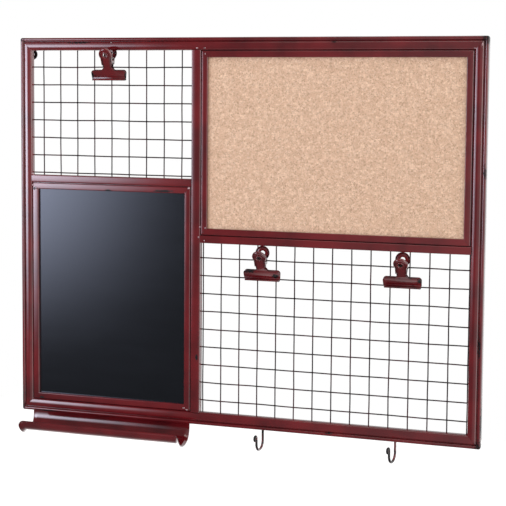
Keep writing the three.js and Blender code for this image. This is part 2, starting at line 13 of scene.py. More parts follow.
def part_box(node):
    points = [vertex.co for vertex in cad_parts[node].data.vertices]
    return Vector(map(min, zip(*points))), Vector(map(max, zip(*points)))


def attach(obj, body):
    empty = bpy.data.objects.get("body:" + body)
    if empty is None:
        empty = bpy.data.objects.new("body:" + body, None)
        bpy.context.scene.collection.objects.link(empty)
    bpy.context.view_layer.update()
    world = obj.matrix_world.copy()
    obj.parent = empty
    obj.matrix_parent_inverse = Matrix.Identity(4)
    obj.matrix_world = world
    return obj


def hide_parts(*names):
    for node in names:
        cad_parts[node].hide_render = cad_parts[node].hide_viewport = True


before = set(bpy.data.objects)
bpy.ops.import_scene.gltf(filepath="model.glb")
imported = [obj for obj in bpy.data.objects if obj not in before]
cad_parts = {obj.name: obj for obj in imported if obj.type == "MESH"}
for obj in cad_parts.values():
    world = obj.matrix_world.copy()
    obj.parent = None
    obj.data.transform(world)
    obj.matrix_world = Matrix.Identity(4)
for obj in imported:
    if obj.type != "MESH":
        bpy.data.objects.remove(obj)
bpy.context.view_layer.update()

bl_info = {
    "name": "Wall memo board",
    "version": (1, 0, 0),
    "blender": (4, 5, 0),
    "location": "View3D > Sidebar > Memo board",
    "description": "Builds the rails, panels, wire meshes, clips, tray and hooks of a memo board",
    "category": "Add Mesh",
}

MM = 0.001
FRAME_DEPTH = 16 * MM
FIT_GAP = 0.3 * MM
BOARD = "board"


# Sizes and colours that a user would change

def length(name, about, size):
    """A length, given in millimetres."""
    return FloatProperty(
        name=name, description=about, default=size * MM, min=0.0, unit="LENGTH", precision=5
    )


def turn(name, about, degrees):
    return FloatProperty(
        name=name, description=about, default=math.radians(degrees), subtype="ANGLE"
    )


def amount(name, about, default, most=1.0):
    return FloatProperty(name=name, description=about, default=default, min=0.0, max=most)


def colour(name, about, *levels):
    """A colour, given by its levels from 0 to 255 as the eye sees them."""
    return FloatVectorProperty(
        name=name, description=about, default=[to_linear(level) for level in levels],
        subtype="COLOR", size=3, min=0.0, max=1.0,
    )


def to_linear(level):
    c = level / 255
    return c / 12.92 if c <= 0.04045 else ((c + 0.055) / 1.055) ** 2.4


class RailSettings(bpy.types.PropertyGroup):
    sheet: length("Sheet", "Thickness of the rails' bent sheet", 1.0)
    back_flange: length("Back flange", "Width of the flange that lies on the wall", 6.0)
    flange_bend: length("Flange bend", "Radius between outer wall and back flange", 1.5)
    bead_radius: length("Bead radius", "Radius of the round outer bead", 2.5)
    bead_setback: length("Bead setback", "How far the bead lies behind the front", 1.4)
    groove_width: length("Groove width", "Width of the groove beside the bead", 1.2)
    shoulder_radius: length("Shoulder radius", "Radius of the band's shoulders", 2.8)
    channel_shoulder: length("Channel shoulder", "Radius on post and cross rails", 1.5)
    crown_rise: length("Crown rise", "Height of the dome on the outer rails' band", 0.36)
    channel_crown: length("Channel crown", "Height of the dome on post and cross rails", 0.12)
    band_slope: turn("Band slope", "How far the outer rails' band falls away inwards", 5.0)
    wall_depth: length("Inner wall depth", "How deep the inner walls reach", 9.5)
    corner_radius: length("Corner radius", "Rounding of the board's four corners", 3.0)
    waviness: length("Waviness", "Hand-made unevenness of the long rails", 0.12)


class InsetSettings(bpy.types.PropertyGroup):
    sheet: length("Sheet", "Thickness of the inset frames' sheet", 0.9)
    width: length("Width", "Width of the inset frames", 9.8)
    play: length("Play", "Width of the groove round an inset frame", 0.75)
    groove_depth: length("Groove depth", "Depth of the groove round an inset frame", 3.2)
    setback: length("Setback", "How far the flat face lies behind the front", 0.5)
    outer_radius: length("Outer radius", "Rounding of the outer edge", 1.2)
    inner_radius: length("Inner radius", "Rounding of the edge beside the panel", 1.2)
    lip_depth: length("Lip depth", "Depth of the lip that meets the panel", 4.4)
    wall_depth: length("Wall depth", "Depth of the outer wall", 12.2)
    flange: length("Flange", "Width of the flange that reaches behind the rails", 1.4)


class WireSettings(bpy.types.PropertyGroup):
    diameter: length("Diameter", "Diameter of the mesh wires", 1.8)
    pitch_across: length("Pitch across", "Distance between the upright wires", 27.23)
    pitch_down: length("Pitch down", "Distance between the level wires", 26.02)
    sway: length("Sway", "How far a wire strays from straight", 0.4)
    nugget: length("Nugget", "Radius of the weld where two wires cross", 1.25)


class ClipSettings(bpy.types.PropertyGroup):
    sheet: length("Sheet", "Thickness of the clips' sheet", 0.9)
    bar_width: length("Bar width", "Width of the gripping bar", 53.4)
    bar_height: length("Bar height", "Height of the gripping bar", 14.0)
    bar_corner: length("Bar corner", "Rounding of the bar's shoulders", 4.5)
    fillet: length("Fillet", "Rounding between bar and neck", 3.0)
    neck_width: length("Neck width", "Width of the front jaw's neck", 16.2)
    pad_overhang: length("Pad overhang", "How far the pad is wider than the neck", 2.2)
    eye_height: length("Eye height", "Height of the eye above the gripping edge", 37.6)
    eye_radius: length("Eye radius", "Radius of the hole in the pad", 3.4)
    rim_width: length("Rim width", "Width of the raised rim round the hole", 1.6)
    rim_height: length("Rim height", "Height of the raised rim", 0.7)
    turned_edge: length("Turned edge", "Depth of the edge turned in at the neck", 2.0)
    bend_radius: length("Bend radius", "Inner radius of the turned edge", 1.6)
    lip_radius: length("Lip radius", "Radius of the rolled gripping edge", 2.0)
    pin_to_plate: length("Pin to plate", "Distance from the pin to each plate", 7.75)
    ear_half_height: length("Ear half height", "Half the height of the ears", 5.5)
    boss_radius: length("Boss radius", "Radius of the ears round the pin", 3.3)
    ear_clearance: length("Ear clearance", "Play between the two jaws' ears", 0.35)
    pin_radius: length("Pin radius", "Radius of the pivot pin", 1.2)
    head_radius: length("Head radius", "Radius of the pin's heads", 1.9)
    spring_wire: length("Spring wire", "Diameter of the spring's wire", 1.1)
    spring_radius: length("Spring radius", "Radius of the spring's coils", 2.9)
    spring_pitch: length("Spring pitch", "Distance from one coil to the next", 1.65)
    spring_turns: IntProperty(
        name="Spring turns", description="Number of coils", default=5, min=1
    )
    splay: turn("Splay", "Angle of each plate to the middle of the clip", 16.5)
    lip_angle: turn("Lip angle", "How far the gripping edge is rolled", 200)
    leg_lift: turn("Leg lift", "Angle between a spring leg and its plate's normal", 12)


class TraySettings(bpy.types.PropertyGroup):
    radius: length("Radius", "Inner radius of the half-round tray", 24.5)
    sheet: length("Sheet", "Thickness of the tray's sheet", 1.2)
    flare: length("Flare", "How far the ends are belled out", 3.45)
    flare_length: length("Flare length", "Length of the belled ends", 7.0)
    corner: length("Corner", "Rounding of the lip's corners", 6.0)
    lip_drop: turn("Lip drop", "Angle by which the lip stays below level", 14)


class HookSettings(bpy.types.PropertyGroup):
    wire: length("Wire", "Diameter of the hooks' wire", 3.5)
    leg: length("Leg", "Length of the straight leg", 15.8)
    bend_radius: length("Bend radius", "Radius of the round bend", 10.5)
    tip_drop: length("Tip drop", "How far the curl starts below the rail", 7.6)
    curl_radius: length("Curl radius", "Radius of the curled tip", 3.3)
    curl_angle: turn("Curl angle", "How far the tip is curled", 230)


class FinishSettings(bpy.types.PropertyGroup):
    red: colour("Red", "Fresh red paint", 118, 26, 32)
    deep_red: colour("Deep red", "Darker clouds in the red paint", 90, 18, 24)
    # The primer also serves as painted shade in creases and grooves and on the top clip's rolled lip
    primer: colour("Primer", "Dark coat that shows where the paint is worn", 24, 20, 22)
    wire: colour("Wire", "Dark mesh wires", 30, 14, 19)
    rust: colour("Rust", "Reddish stain on the wires", 74, 24, 34)
    slate: colour("Slate", "Chalkboard", 13, 14, 18)
    chalk: colour("Chalk", "Chalk haze wiped over the board", 92, 98, 112)
    cork_light: colour("Light cork", "Pale cork granules", 252, 218, 190)
    cork_mid: colour("Cork", "Most cork granules", 234, 195, 165)
    cork_dark: colour("Dark cork", "Bark and gaps between the granules", 150, 104, 74)
    hardboard: colour("Hardboard", "Backing board", 110, 82, 56)
    steel: colour("Steel", "Dark steel fittings", 66, 58, 58)
    # A pale pink standing in for the glints on the weld drops: painted highlight
    weld: colour("Weld", "Brushed weld drops", 236, 205, 208)
    # Reach of the edge mask: wear on outer edges, painted shade in creases
    wear_and_shade_reach: length("Wear reach", "How far wear goes from an edge", 1.0)
    gloss: amount("Coat roughness", "Roughness of the paint's gloss coat", 0.07)


class StudioSettings(bpy.types.PropertyGroup):
    key: amount("Key lamp", "Watts of the large lamp on the left", 56.0, most=500.0)
    top: amount("Top lamp", "Watts of the lamp overhead", 5.0, most=500.0)
    fill: amount("Fill lamp", "Watts of the weak lamp on the right", 7.0, most=500.0)
    room: amount("Room light", "Brightness of the room in front of the board", 0.66, most=5.0)
    wall: amount("Wall light", "Brightness of the wall behind the board", 0.8, most=5.0)
    lens: FloatProperty(
        name="Lens", description="Camera lens in millimetres", default=87.16, min=1.0
    )


class MemoBoardSettings(bpy.types.PropertyGroup):
    rails: PointerProperty(type=RailSettings)
    insets: PointerProperty(type=InsetSettings)
    wires: PointerProperty(type=WireSettings)
    clips: PointerProperty(type=ClipSettings)
    tray: PointerProperty(type=TraySettings)
    hooks: PointerProperty(type=HookSettings)
    finishes: PointerProperty(type=FinishSettings)
    studio: PointerProperty(type=StudioSettings)


# Outlines: points are (across, deep) or (x, z) pairs, in metres

QUARTER_STEPS = 9
DOME_STEPS = 10
BEAD_FULLNESS = 0.85


def arc(centre, radius, start, end, steps):
    """Points on a circle from one angle to another, in degrees."""
    points = []
    for i in range(steps + 1):
        angle = math.radians(start + (end - start) * i / steps)
        across, deep = radius * math.cos(angle), radius * math.sin(angle)
        points.append(Vector((centre[0] + across, centre[1] + deep)))
    return points


def circle(centre, radius, steps):
    """A closed loop of points, without its first point once more at the end."""
    return arc(centre, radius, 0, 360, steps)[:-1]


def line_of(*parts):
    """One line of points from single points and lists of them, without doubles."""
    line = []
    for part in parts:
        for p in part if isinstance(part, list) else [Vector(part)]:
            if not line or (p - line[-1]).length > SAME_PLACE:
                line.append(p)
    return line


def left_of(along):
    return Vector((-along.y, along.x))


def bent_sheet(line, thickness):
    """The closed section of bent sheet: a line and its offset to the left."""
    normals = [left_of((b - a).normalized()) for a, b in zip(line, line[1:])]
    offset = []
    for i, p in enumerate(line):
        before, after = normals[max(i - 1, 0)], normals[min(i, len(normals) - 1)]
        offset.append(p + (before + after) / (1 + before.dot(after)) * thickness)
    return line + offset[::-1]


def domed_band(start, end, shoulder, crown, slope=0.0):
    """The band between two rounded shoulders. It may fall away inwards."""
    level = crown + shoulder
    first, last = start + shoulder, end - shoulder
    dome = []
    for i in range(1, DOME_STEPS):
        t = i / DOME_STEPS
        dome.append(Vector((first + (last - first) * t, crown * (1 - 4 * t * (1 - t)))))
    band = line_of(
        arc((first, level), shoulder, 180, 270, QUARTER_STEPS),
        dome,
        arc((last, level), shoulder, 270, 360, QUARTER_STEPS),
    )
    return [Vector((p.x, p.y + slope * (p.x - start))) for p in band]


def squared(points, centre, radius):
    """A round arc pressed flatter at the front and fuller at its corners."""
    pressed = []
    for p in points:
        offset = (p - Vector(centre)) / radius
        full = [math.copysign(abs(c) ** BEAD_FULLNESS, c) for c in offset]
        pressed.append(Vector(centre) + Vector(full) * radius)
    return pressed


def outer_rail_section(rails, width):
    """Back flange, outer wall, round bead, groove, domed band and inner wall."""
    bend, bead = rails.flange_bend, rails.bead_radius
    centre = (bead, rails.bead_setback + bead)
    groove = rails.groove_width / 2
    groove_level = rails.bead_setback + bead - groove / 2
    start = 2 * bead + rails.groove_width
    slope = math.tan(rails.band_slope)
    line = line_of(
        (rails.back_flange, FRAME_DEPTH),
        arc((bend, FRAME_DEPTH - bend), bend, 90, 180, QUARTER_STEPS // 2),
        squared(arc(centre, bead, 180, 345, 2 * QUARTER_STEPS), centre, bead),
        arc((2 * bead + groove, groove_level), groove, 170, 10, QUARTER_STEPS),
        domed_band(start, width, rails.shoulder_radius, rails.crown_rise, slope),
        (width, rails.wall_depth),
    )
    return bent_sheet(line, rails.sheet)


def channel_section(rails, width):
    """Two walls and a domed band between them."""
    band = domed_band(0, width, rails.channel_shoulder, rails.channel_crown)
    line = line_of((0, rails.wall_depth), band, (width, rails.wall_depth))
    return bent_sheet(line, rails.sheet)


def inset_section(inset):
    """Flange behind the rails, outer wall, groove, flat face and the lip on the panel."""
    outer, inner = inset.outer_radius, inset.inner_radius
    back, groove = inset.wall_depth - inset.sheet, inset.setback + inset.groove_depth
    line = line_of(
        (-inset.flange, back),
        (0, back),
        (0, groove),
        (inset.play, groove),
        arc((inset.play + outer, inset.setback + outer), outer, 180, 270, QUARTER_STEPS),
        arc((inset.width - inner, inset.setback + inner), inner, 270, 360, QUARTER_STEPS),
        (inset.width, inset.lip_depth),
    )
    return bent_sheet(line, inset.sheet)


# Meshes: a part is a list of vertices and a list of faces

CREASE = 38.0
FINE_CREASE = 60.0
# Segments of an eased edge, and the angle in degrees from which an edge is eased
SHEET_EASING, PANEL_EASING = (2, 50), (3, 40)
# Rings in a wire's rounded end, and how far from the tip the first one lies, in steps
CAP_STEPS, CAP_START = 4, 0.35
# How lumpy weld drops and weld nuggets are, and the scale of their pattern
DROP_SWELL, NUGGET_SWELL, LUMPS = 0.4, 0.18, 1.7
# Places closer than this are one place
SAME_PLACE = 1e-6


def evenly(low, high, steps):
    return [low + (high - low) * k / steps for k in range(steps + 1)]


def waves(along, seed, kinds):
    """Unevenness at a place: a value for each scale and row of the pattern."""
    return [noise.noise(Vector((along * scale, seed, row))) for scale, row in kinds]


def bridge(rings, closed=True, caps=True):
    """A skin through rings of equal count."""
    count = len(rings[0])
    last = (len(rings) - 1) * count
    faces = []
    for low in range(0, last, count):
        high = low + count
        for i in range(count if closed else count - 1):
            j = (i + 1) % count
            faces.append((low + i, low + j, high + j, high + i))
    if caps:
        faces += [tuple(range(count))[::-1], tuple(range(last, last + count))]
    return [p for ring in rings for p in ring], faces


def merged(*parts):
    """One part from several."""
    verts, faces = [], []
    for some_verts, some_faces in parts:
        base = len(verts)
        verts += some_verts
        faces += [tuple(base + i for i in face) for face in some_faces]
    return verts, faces


def moved(part, matrix):
    verts, faces = part
    return [matrix @ Vector(v) for v in verts], faces


def linked(name, data):
    """A new object in the scene for a mesh, a lamp or a camera."""
    obj = bpy.data.objects.new(name, data)
    bpy.context.scene.collection.objects.link(obj)
    return obj


def new_mesh(name, part):
    mesh = bpy.data.meshes.new(name)
    mesh.from_pydata([tuple(v) for v in part[0]], [], part[1])
    return mesh


def piece(name, part, finish_name, nodes=(), body=BOARD, crease=CREASE, edge=0.0):
    """A visible piece that rides on a body and stands for some nodes of the frame."""
    mesh = new_mesh(name, part)
    bm = bmesh.new()
    bm.from_mesh(mesh)
    bmesh.ops.recalc_face_normals(bm, faces=bm.faces)
    bm.to_mesh(mesh)
    bm.free()
    mesh.materials.append(finish(finish_name))
    obj = linked(name, mesh)
    if edge > 0:
        soften(obj, edge)
    shade(obj, crease)
    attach(obj, body)
    if nodes:
        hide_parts(*nodes)
    return obj


def shade(obj, crease):
    obj.data.polygons.foreach_set("use_smooth", [True] * len(obj.data.polygons))
    obj.data.set_sharp_from_angle(angle=math.radians(crease))


def baked(obj):
    """Keeps what the modifiers make of a mesh, and drops the modifiers."""
    depsgraph = bpy.context.evaluated_depsgraph_get()
    mesh = bpy.data.meshes.new_from_object(obj.evaluated_get(depsgraph))
    obj.modifiers.clear()
    obj.data = mesh


def ease_edges(obj, width, segments, degrees):
    """Rounds the edges that turn by more than an angle."""
    bevel = obj.modifiers.new("eased edges", "BEVEL")
    bevel.width = width
    bevel.segments = segments
    bevel.limit_method = "ANGLE"
    bevel.angle_limit = math.radians(degrees)


def soften(obj, edge):
    ease_edges(obj, edge, *SHEET_EASING)
    baked(obj)


def cut_away(obj, low, high):
    """Takes a box out of a piece."""
    mesh = bpy.data.meshes.new("cutter")
    bm = bmesh.new()
    middle, size = (high + low) / 2, high - low
    box = Matrix.Translation(middle) @ Matrix.Diagonal((*size, 1))
    bmesh.ops.create_cube(bm, size=1.0, matrix=box)
    bm.to_mesh(mesh)
    bm.free()
    cutter = linked("cutter", mesh)
    boolean = obj.modifiers.new("cut", "BOOLEAN")
    boolean.operation = "DIFFERENCE"
    boolean.object = cutter
    boolean.solver = "EXACT"
    baked(obj)
    bpy.data.objects.remove(cutter)
    bpy.data.meshes.remove(mesh)
    shade(obj, CREASE)


def lathe(profile, steps, axis="X"):
    """A closed profile of (radius, along) points turned round the x or the y axis."""
    rings = []
    for i in range(steps):
        angle = 2 * math.pi * i / steps
        c, s = math.cos(angle), math.sin(angle)
        if axis == "X":
            rings.append([Vector((a, r * c, r * s)) for r, a in profile])
        else:
            rings.append([Vector((r * c, a, r * s)) for r, a in profile])
    verts, faces = bridge([*rings, rings[0]], caps=False)
    last = len(profile) * steps
    return verts[:last], [tuple(i % last for i in face) for face in faces]


def tube(points, radius, sides, domed=True):
    """A round wire through points, with rounded or flat ends."""
    tangents = []
    for before, after in zip([points[0], *points], [*points[1:], points[-1]]):
        tangents.append((after - before).normalized())
    side = tangents[0].orthogonal().normalized()
    rings = []
    for i, p in enumerate(points):
        if i > 0:
            side = tangents[i - 1].rotation_difference(tangents[i]) @ side
        rings.append((p, side.copy(), tangents[i].cross(side).normalized(), radius))

    def cap(ring, out):
        p, a, b, _ = ring
        stations = []
        for k in range(CAP_STEPS if domed else 0):
            angle = math.pi / 2 * (k + CAP_START) / (CAP_STEPS + CAP_START)
            tip = p + out * radius * math.cos(angle)
            stations.append((tip, a, b, radius * math.sin(angle)))
        return stations

    stations = cap(rings[0], -tangents[0]) + rings + cap(rings[-1], tangents[-1])[::-1]
    turns = [2 * math.pi * i / sides for i in range(sides)]
    around = [(math.cos(angle), math.sin(angle)) for angle in turns]
    return bridge([[p + (a * c + b * s) * r for c, s in around] for p, a, b, r in stations])


def blob(centre, size, seed, swell):
    """An uneven drop of weld metal or a wire's weld nugget."""
    bm = bmesh.new()
    bmesh.ops.create_icosphere(bm, subdivisions=2, radius=1.0)
    verts = []
    for v in bm.verts:
        grown = 1 + swell * noise.noise(v.co * LUMPS + Vector((seed, seed * 0.7, 0)))
        verts.append(Vector(centre) + Vector(v.co[k] * size[k] * grown for k in range(3)))
    faces = [tuple(v.index for v in face.verts) for face in bm.faces]
    bm.free()
    return verts, faces


# Rails

# Distances from a rail's end at which it has a ring of vertices
END_DISTANCES = [d * MM for d in (0.0, 0.5, 1.0, 1.6, 2.3, 3.0, 6.0, 12.0)]
STATION_STEP = 12 * MM
CALM_END = 25 * MM
# Slow, quick and tilting unevenness: the pattern's scale, and a row of the pattern
RAIL_WAVES = ((9.0, 0.0), (31.0, 4.0), (13.0, 8.0))
# How far a rail is turned about y from lying along the top
SIDES = {"top": 0.0, "bottom": math.pi, "left": -math.pi / 2, "right": math.pi / 2}

# Where each rail takes its unevenness from the pattern
SEEDS = {
    "frame": 1.0, "centre_post": 7.0, "left_cross_rail": 11.0, "right_cross_rail": 12.0,
    "chalk": 21.0, "cork": 25.0,
}


def eased_corner(inward, along, radius):
    """Where a point near a mitred corner goes when the corner is rounded off."""
    if radius <= inward or radius <= along:
        return inward, along
    angle = math.pi / 4 * (radius - along) / (radius - inward)
    reach = radius - inward
    return radius - reach * math.cos(angle), radius - reach * math.sin(angle)


def rail(section, size, mitred, corner=0.0, waviness=0.0, seed=0.0):
    """A rail along x with its outer edge on z = 0 and its width going down."""
    half = size / 2
    width = max(p.x for p in section)
    between = half - END_DISTANCES[-1] - width * mitred
    count = max(int(2 * between / STATION_STEP), 1)

    def end(distance, side):
        ring = []
        for p in section:
            inward, along = p.x, distance
            if mitred:
                inward, along = eased_corner(p.x, p.x + distance, corner)
            ring.append((side * (half - along), p.y, inward))
        return ring

    rings = [end(distance, -1) for distance in END_DISTANCES]
    for along in evenly(-between, between, count):
        rings.append([(along, p.y, p.x) for p in section])
    rings += [end(distance, 1) for distance in reversed(END_DISTANCES)]
    uneven_rings = []
    for ring in rings:
        uneven_rings.append([uneven(Vector((a, d, -w)), half, waviness, seed) for a, d, w in ring])
    return bridge(uneven_rings)


def uneven(place, half, waviness, seed):
    """Lets a long rail stray a little, and keeps its ends where they are."""
    if waviness == 0:
        return place
    slow, quick, tilt = waves(place.x, seed, RAIL_WAVES)
    stray = waviness * max(min((half - abs(place.x)) / CALM_END, 1.0), 0.0)
    forward = max(1.0 - place.y / FRAME_DEPTH, 0.0)
    place.y += stray * (1.0 + slow + 0.4 * quick) * forward
    place.z -= stray * (1.0 + tilt)
    return place


def add_rail(node, part, turn_y, x, z, paint):
    """Sets a rail on the board in place of its node."""
    place = Matrix.Translation((x, -FRAME_DEPTH, z)) @ Matrix.Rotation(turn_y, 4, "Y")
    return piece(f"{node}_formed", moved(part, place), paint, nodes=[node])


def rectangle(prefix):
    """Left, right, bottom and top of a frame of four rails."""
    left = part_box(f"{prefix}_left_rail")[0].x
    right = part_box(f"{prefix}_right_rail")[1].x
    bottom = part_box(f"{prefix}_bottom_rail")[0].z
    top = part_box(f"{prefix}_top_rail")[1].z
    return left, right, bottom, top


def four_rails(prefix, section, paint, corner, waviness):
    left, right, bottom, top = rectangle(prefix)
    middle_x, middle_z = (left + right) / 2, (bottom + top) / 2
    places = {
        "top": (middle_x, top, right - left),
        "bottom": (middle_x, bottom, right - left),
        "left": (left, middle_z, top - bottom),
        "right": (right, middle_z, top - bottom),
    }
    rails = {}
    for i, (side, turn_y) in enumerate(SIDES.items()):
        x, z, size = places[side]
        part = rail(section, size, True, corner, waviness, SEEDS[prefix] + i)
        rails[side] = add_rail(f"{prefix}_{side}_rail", part, turn_y, x, z, paint)
    return rails


def divider(node, rails, width, size, turn_y, x, z):
    """The post or a cross rail: an open channel between other rails."""
    section = channel_section(rails, width)
    part = rail(section, size, False, waviness=rails.waviness, seed=SEEDS[node])
    add_rail(node, part, turn_y, x, z, "rail paint")


# Materials

# Sockets of a mix node: its factor, its two colours and the mixed colour
FACTOR, FIRST, SECOND, MIXED = 0, 6, 7, 2


class Nodes:
    """Adds nodes to the tree of a material, a lamp, the world or a group."""

    def __init__(self, tree):
        self.tree = tree

    def add(self, kind, inputs=(), **options):
        node = self.tree.nodes.new(f"ShaderNode{kind}")
        for key, value in options.items():
            setattr(node, key, value)
        for key, value in dict(inputs).items():
            self.put(node.inputs[key], value)
        return node

    def put(self, socket, value):
        """Links a socket, or sets it to a plain value."""
        if isinstance(value, bpy.types.NodeSocket):
            self.tree.links.new(value, socket)
        elif socket.type == "RGBA":
            socket.default_value = (*value, 1.0)
        else:
            socket.default_value = value

    def maths(self, operation, *values):
        return self.add("Math", dict(enumerate(values)), operation=operation).outputs[0]

    def vector(self, operation, *values):
        return self.add("VectorMath", dict(enumerate(values)), operation=operation).outputs

    def spread(self, value, low, high, to_low=0.0, to_high=1.0):
        """Maps a range of values to another, and holds it at the ends."""
        limits = {"From Min": low, "From Max": high, "To Min": to_low, "To Max": to_high}
        return self.add("MapRange", {"Value": value, **limits}).outputs[0]

    def mix(self, factor, first, second):
        inputs = {FACTOR: factor, FIRST: first, SECOND: second}
        return self.add("Mix", inputs, data_type="RGBA").outputs[MIXED]

    def noise(self, place, scale, detail=2.0, roughness=0.5, distortion=0.0):
        inputs = {"Vector": place, "Scale": scale, "Detail": detail}
        inputs |= {"Roughness": roughness, "Distortion": distortion}
        return self.add("TexNoise", inputs).outputs["Fac"]

    def place(self):
        return self.add("TexCoord").outputs["Object"]

    def group(self, name, inputs):
        return self.add("Group", inputs, node_tree=bpy.data.node_groups[name]).outputs

    def bump(self, height, strength, distance):
        inputs = {"Height": height, "Strength": strength, "Distance": distance}
        return self.add("Bump", inputs).outputs[0]

    def textured(self, height, smoothest, roughest, strength, distance):
        """Roughness and relief that both follow one height."""
        return {
            "Roughness": self.spread(height, 0.3, 0.7, smoothest, roughest),
            "Normal": self.bump(height, strength, distance),
        }


def fresh_nodes(owner):
    owner.use_nodes = True
    owner.node_tree.nodes.clear()
    return Nodes(owner.node_tree)


def new_group(name, inputs, outputs):
    """An empty shader group. Its inputs are given with their defaults."""
    tree = bpy.data.node_groups.new(name, "ShaderNodeTree")
    for key, default in inputs.items():
        kind = "NodeSocketVector" if isinstance(default, tuple) else "NodeSocketFloat"
        socket = tree.interface.new_socket(name=key, in_out="INPUT", socket_type=kind)
        socket.default_value = default
    for key in outputs:
        tree.interface.new_socket(name=key, in_out="OUTPUT", socket_type="NodeSocketFloat")
    given, out = tree.nodes.new("NodeGroupInput"), tree.nodes.new("NodeGroupOutput")
    return Nodes(tree), given.outputs, out.inputs


def edges_and_creases_group():
    """A mask that is 1 on edges, corners and creases, with a ragged limit. In red paint it is wear on
    outer edges and painted shade in creases and grooves.
    """
    inputs = {"Reach": 0.001, "Amount": 0.5, "Ragged scale": 300.0}
    nodes, given, out = new_group("Edge wear", inputs, ["Mask"])
    smooth = nodes.add("Bevel", {"Radius": given["Reach"]}, samples=6).outputs[0]
    plain = nodes.add("NewGeometry").outputs["Normal"]
    alike = nodes.vector("DOT_PRODUCT", smooth, plain)["Value"]
    edge = nodes.maths("SUBTRACT", 1.0, alike)
    place = nodes.place()
    ragged = nodes.noise(place, given["Ragged scale"], detail=4.0, roughness=0.65)
    patchy = nodes.spread(nodes.noise(place, 38.0), 0.35, 0.7, 0.35, 1.5)
    level = nodes.maths("MULTIPLY", ragged, patchy)
    strength = nodes.maths("MULTIPLY", nodes.maths("MULTIPLY", edge, 10.0), level)
    start = nodes.maths("SUBTRACT", 1.0, given["Amount"])
    nodes.put(out["Mask"], nodes.spread(strength, start, nodes.maths("ADD", start, 0.12)))


def chips_group():
    """A mask of scattered chips and scratches in paint."""
    nodes, given, out = new_group("Paint chips", {"Scale": 60.0, "Cover": 0.3}, ["Mask"])
    place = nodes.place()
    coarse = nodes.noise(place, given["Scale"], detail=5.0, roughness=0.6, distortion=0.4)
    fine = nodes.noise(place, nodes.maths("MULTIPLY", given["Scale"], 7.0), detail=3.0)
    most, rest = nodes.maths("MULTIPLY", coarse, 0.8), nodes.maths("MULTIPLY", fine, 0.2)
    level = nodes.maths("ADD", most, rest)
    start = nodes.maths("SUBTRACT", 0.78, nodes.maths("MULTIPLY", given["Cover"], 0.3))
    nodes.put(out["Mask"], nodes.spread(level, start, nodes.maths("ADD", start, 0.02)))


def spot_group():
    """Adds a ragged spot of a given size and place to the mask of those before it."""
    inputs = {"Centre": (0, 0, 0), "Size": (0.01, 0.01, 0.01), "Before": 0.0}
    nodes, given, out = new_group("Worn spot", inputs, ["Mask"])
    place = nodes.place()
    apart = nodes.vector("SUBTRACT", place, given["Centre"])[0]
    reach = nodes.vector("LENGTH", nodes.vector("DIVIDE", apart, given["Size"])[0])["Value"]
    ragged = nodes.noise(place, 420.0, detail=5.0, roughness=0.7)
    far = nodes.maths("ADD", reach, nodes.maths("MULTIPLY", ragged, 2.8))
    spot = nodes.spread(far, 2.24, 2.0)
    nodes.put(out["Mask"], nodes.maths("MAXIMUM", spot, given["Before"]))


def grain_group():
    """Fine unevenness of a sprayed or rolled finish as a height, and its slow clouds."""
    inputs = {"Scale": 400.0, "Slow share": 0.6}
    nodes, given, out = new_group("Fine grain", inputs, ["Height", "Cloud"])
    place, scale, slow_share = nodes.place(), given["Scale"], given["Slow share"]
    fine = nodes.noise(place, scale, detail=3.0, roughness=0.6)
    slow = nodes.noise(place, nodes.maths("MULTIPLY", scale, 0.12))
    kept = nodes.maths("MULTIPLY", slow, slow_share)
    rest = nodes.maths("MULTIPLY", fine, nodes.maths("SUBTRACT", 1.0, slow_share))
    cloud_scale = nodes.maths("MULTIPLY", scale, 0.05)
    nodes.put(out["Height"], nodes.maths("ADD", kept, rest))
    nodes.put(out["Cloud"], nodes.noise(place, cloud_scale, detail=3.0))


# Places where the paint is worn through, and on the top clip's rolled lip a strip of painted shade:
# centre and size in millimetres, in the board's frame
RAIL_SPOTS = (
    ((-343, -10, 3), (11, 9, 9)), ((343, -10, 3), (15, 10, 17)),
    ((-345, -10, -548), (8, 14, 30)), ((343, -10, -557), (14, 12, 17)),
    ((-336, -10, -558), (20, 10, 5)), ((344, -10, -520), (4, 10, 44)),
    ((-248, -17, -4.0), (26, 7, 2.6)), ((133, -17, -3.5), (7, 7, 3.0)),
    ((338, -16, -416), (3.2, 7, 19)), ((131, -17, -551), (9, 7, 3.0)),
    ((-64, -17, -457), (2.8, 6, 6)), ((-300, -14, -556), (30, 6, 3.5)),
    ((-180, -14, -557), (60, 5, 2.6)), ((341, -12, -180), (3, 6, 14)),
)
INSET_SPOTS = (
    ((-116, -16, -217.5), (20, 6, 2.4)), ((-202, -16, -219.5), (6, 6, 2.4)),
    ((165, -16, -267), (18, 6, 2.6)), ((-320.5, -16, -219.5), (2.8, 6, 2.8)),
    ((-310, -16, -536), (5, 6, 4)),
)
# Worn spots on the clips; the second, a long flat strip along the top clip's rolled lip, is painted
# shade
CLIP_SPOTS_AND_LIP_SHADE = (
    ((-225.5, -20, -54), (2.6, 20, 9)), ((-200, -20, -60.3), (30, 20, 1.9)),
    ((-174.5, -20, -54), (1.8, 20, 8)), ((14, -20, -327), (9, 20, 4)),
    ((52, -20, -333), (7, 20, 4)), ((20.5, -20, -318), (2, 20, 8)),
    ((212, -20, -319), (8, 20, 3.5)), ((256, -20, -330), (4, 20, 5)),
)


def scaled(numbers, factor):
    return [number * factor for number in numbers]


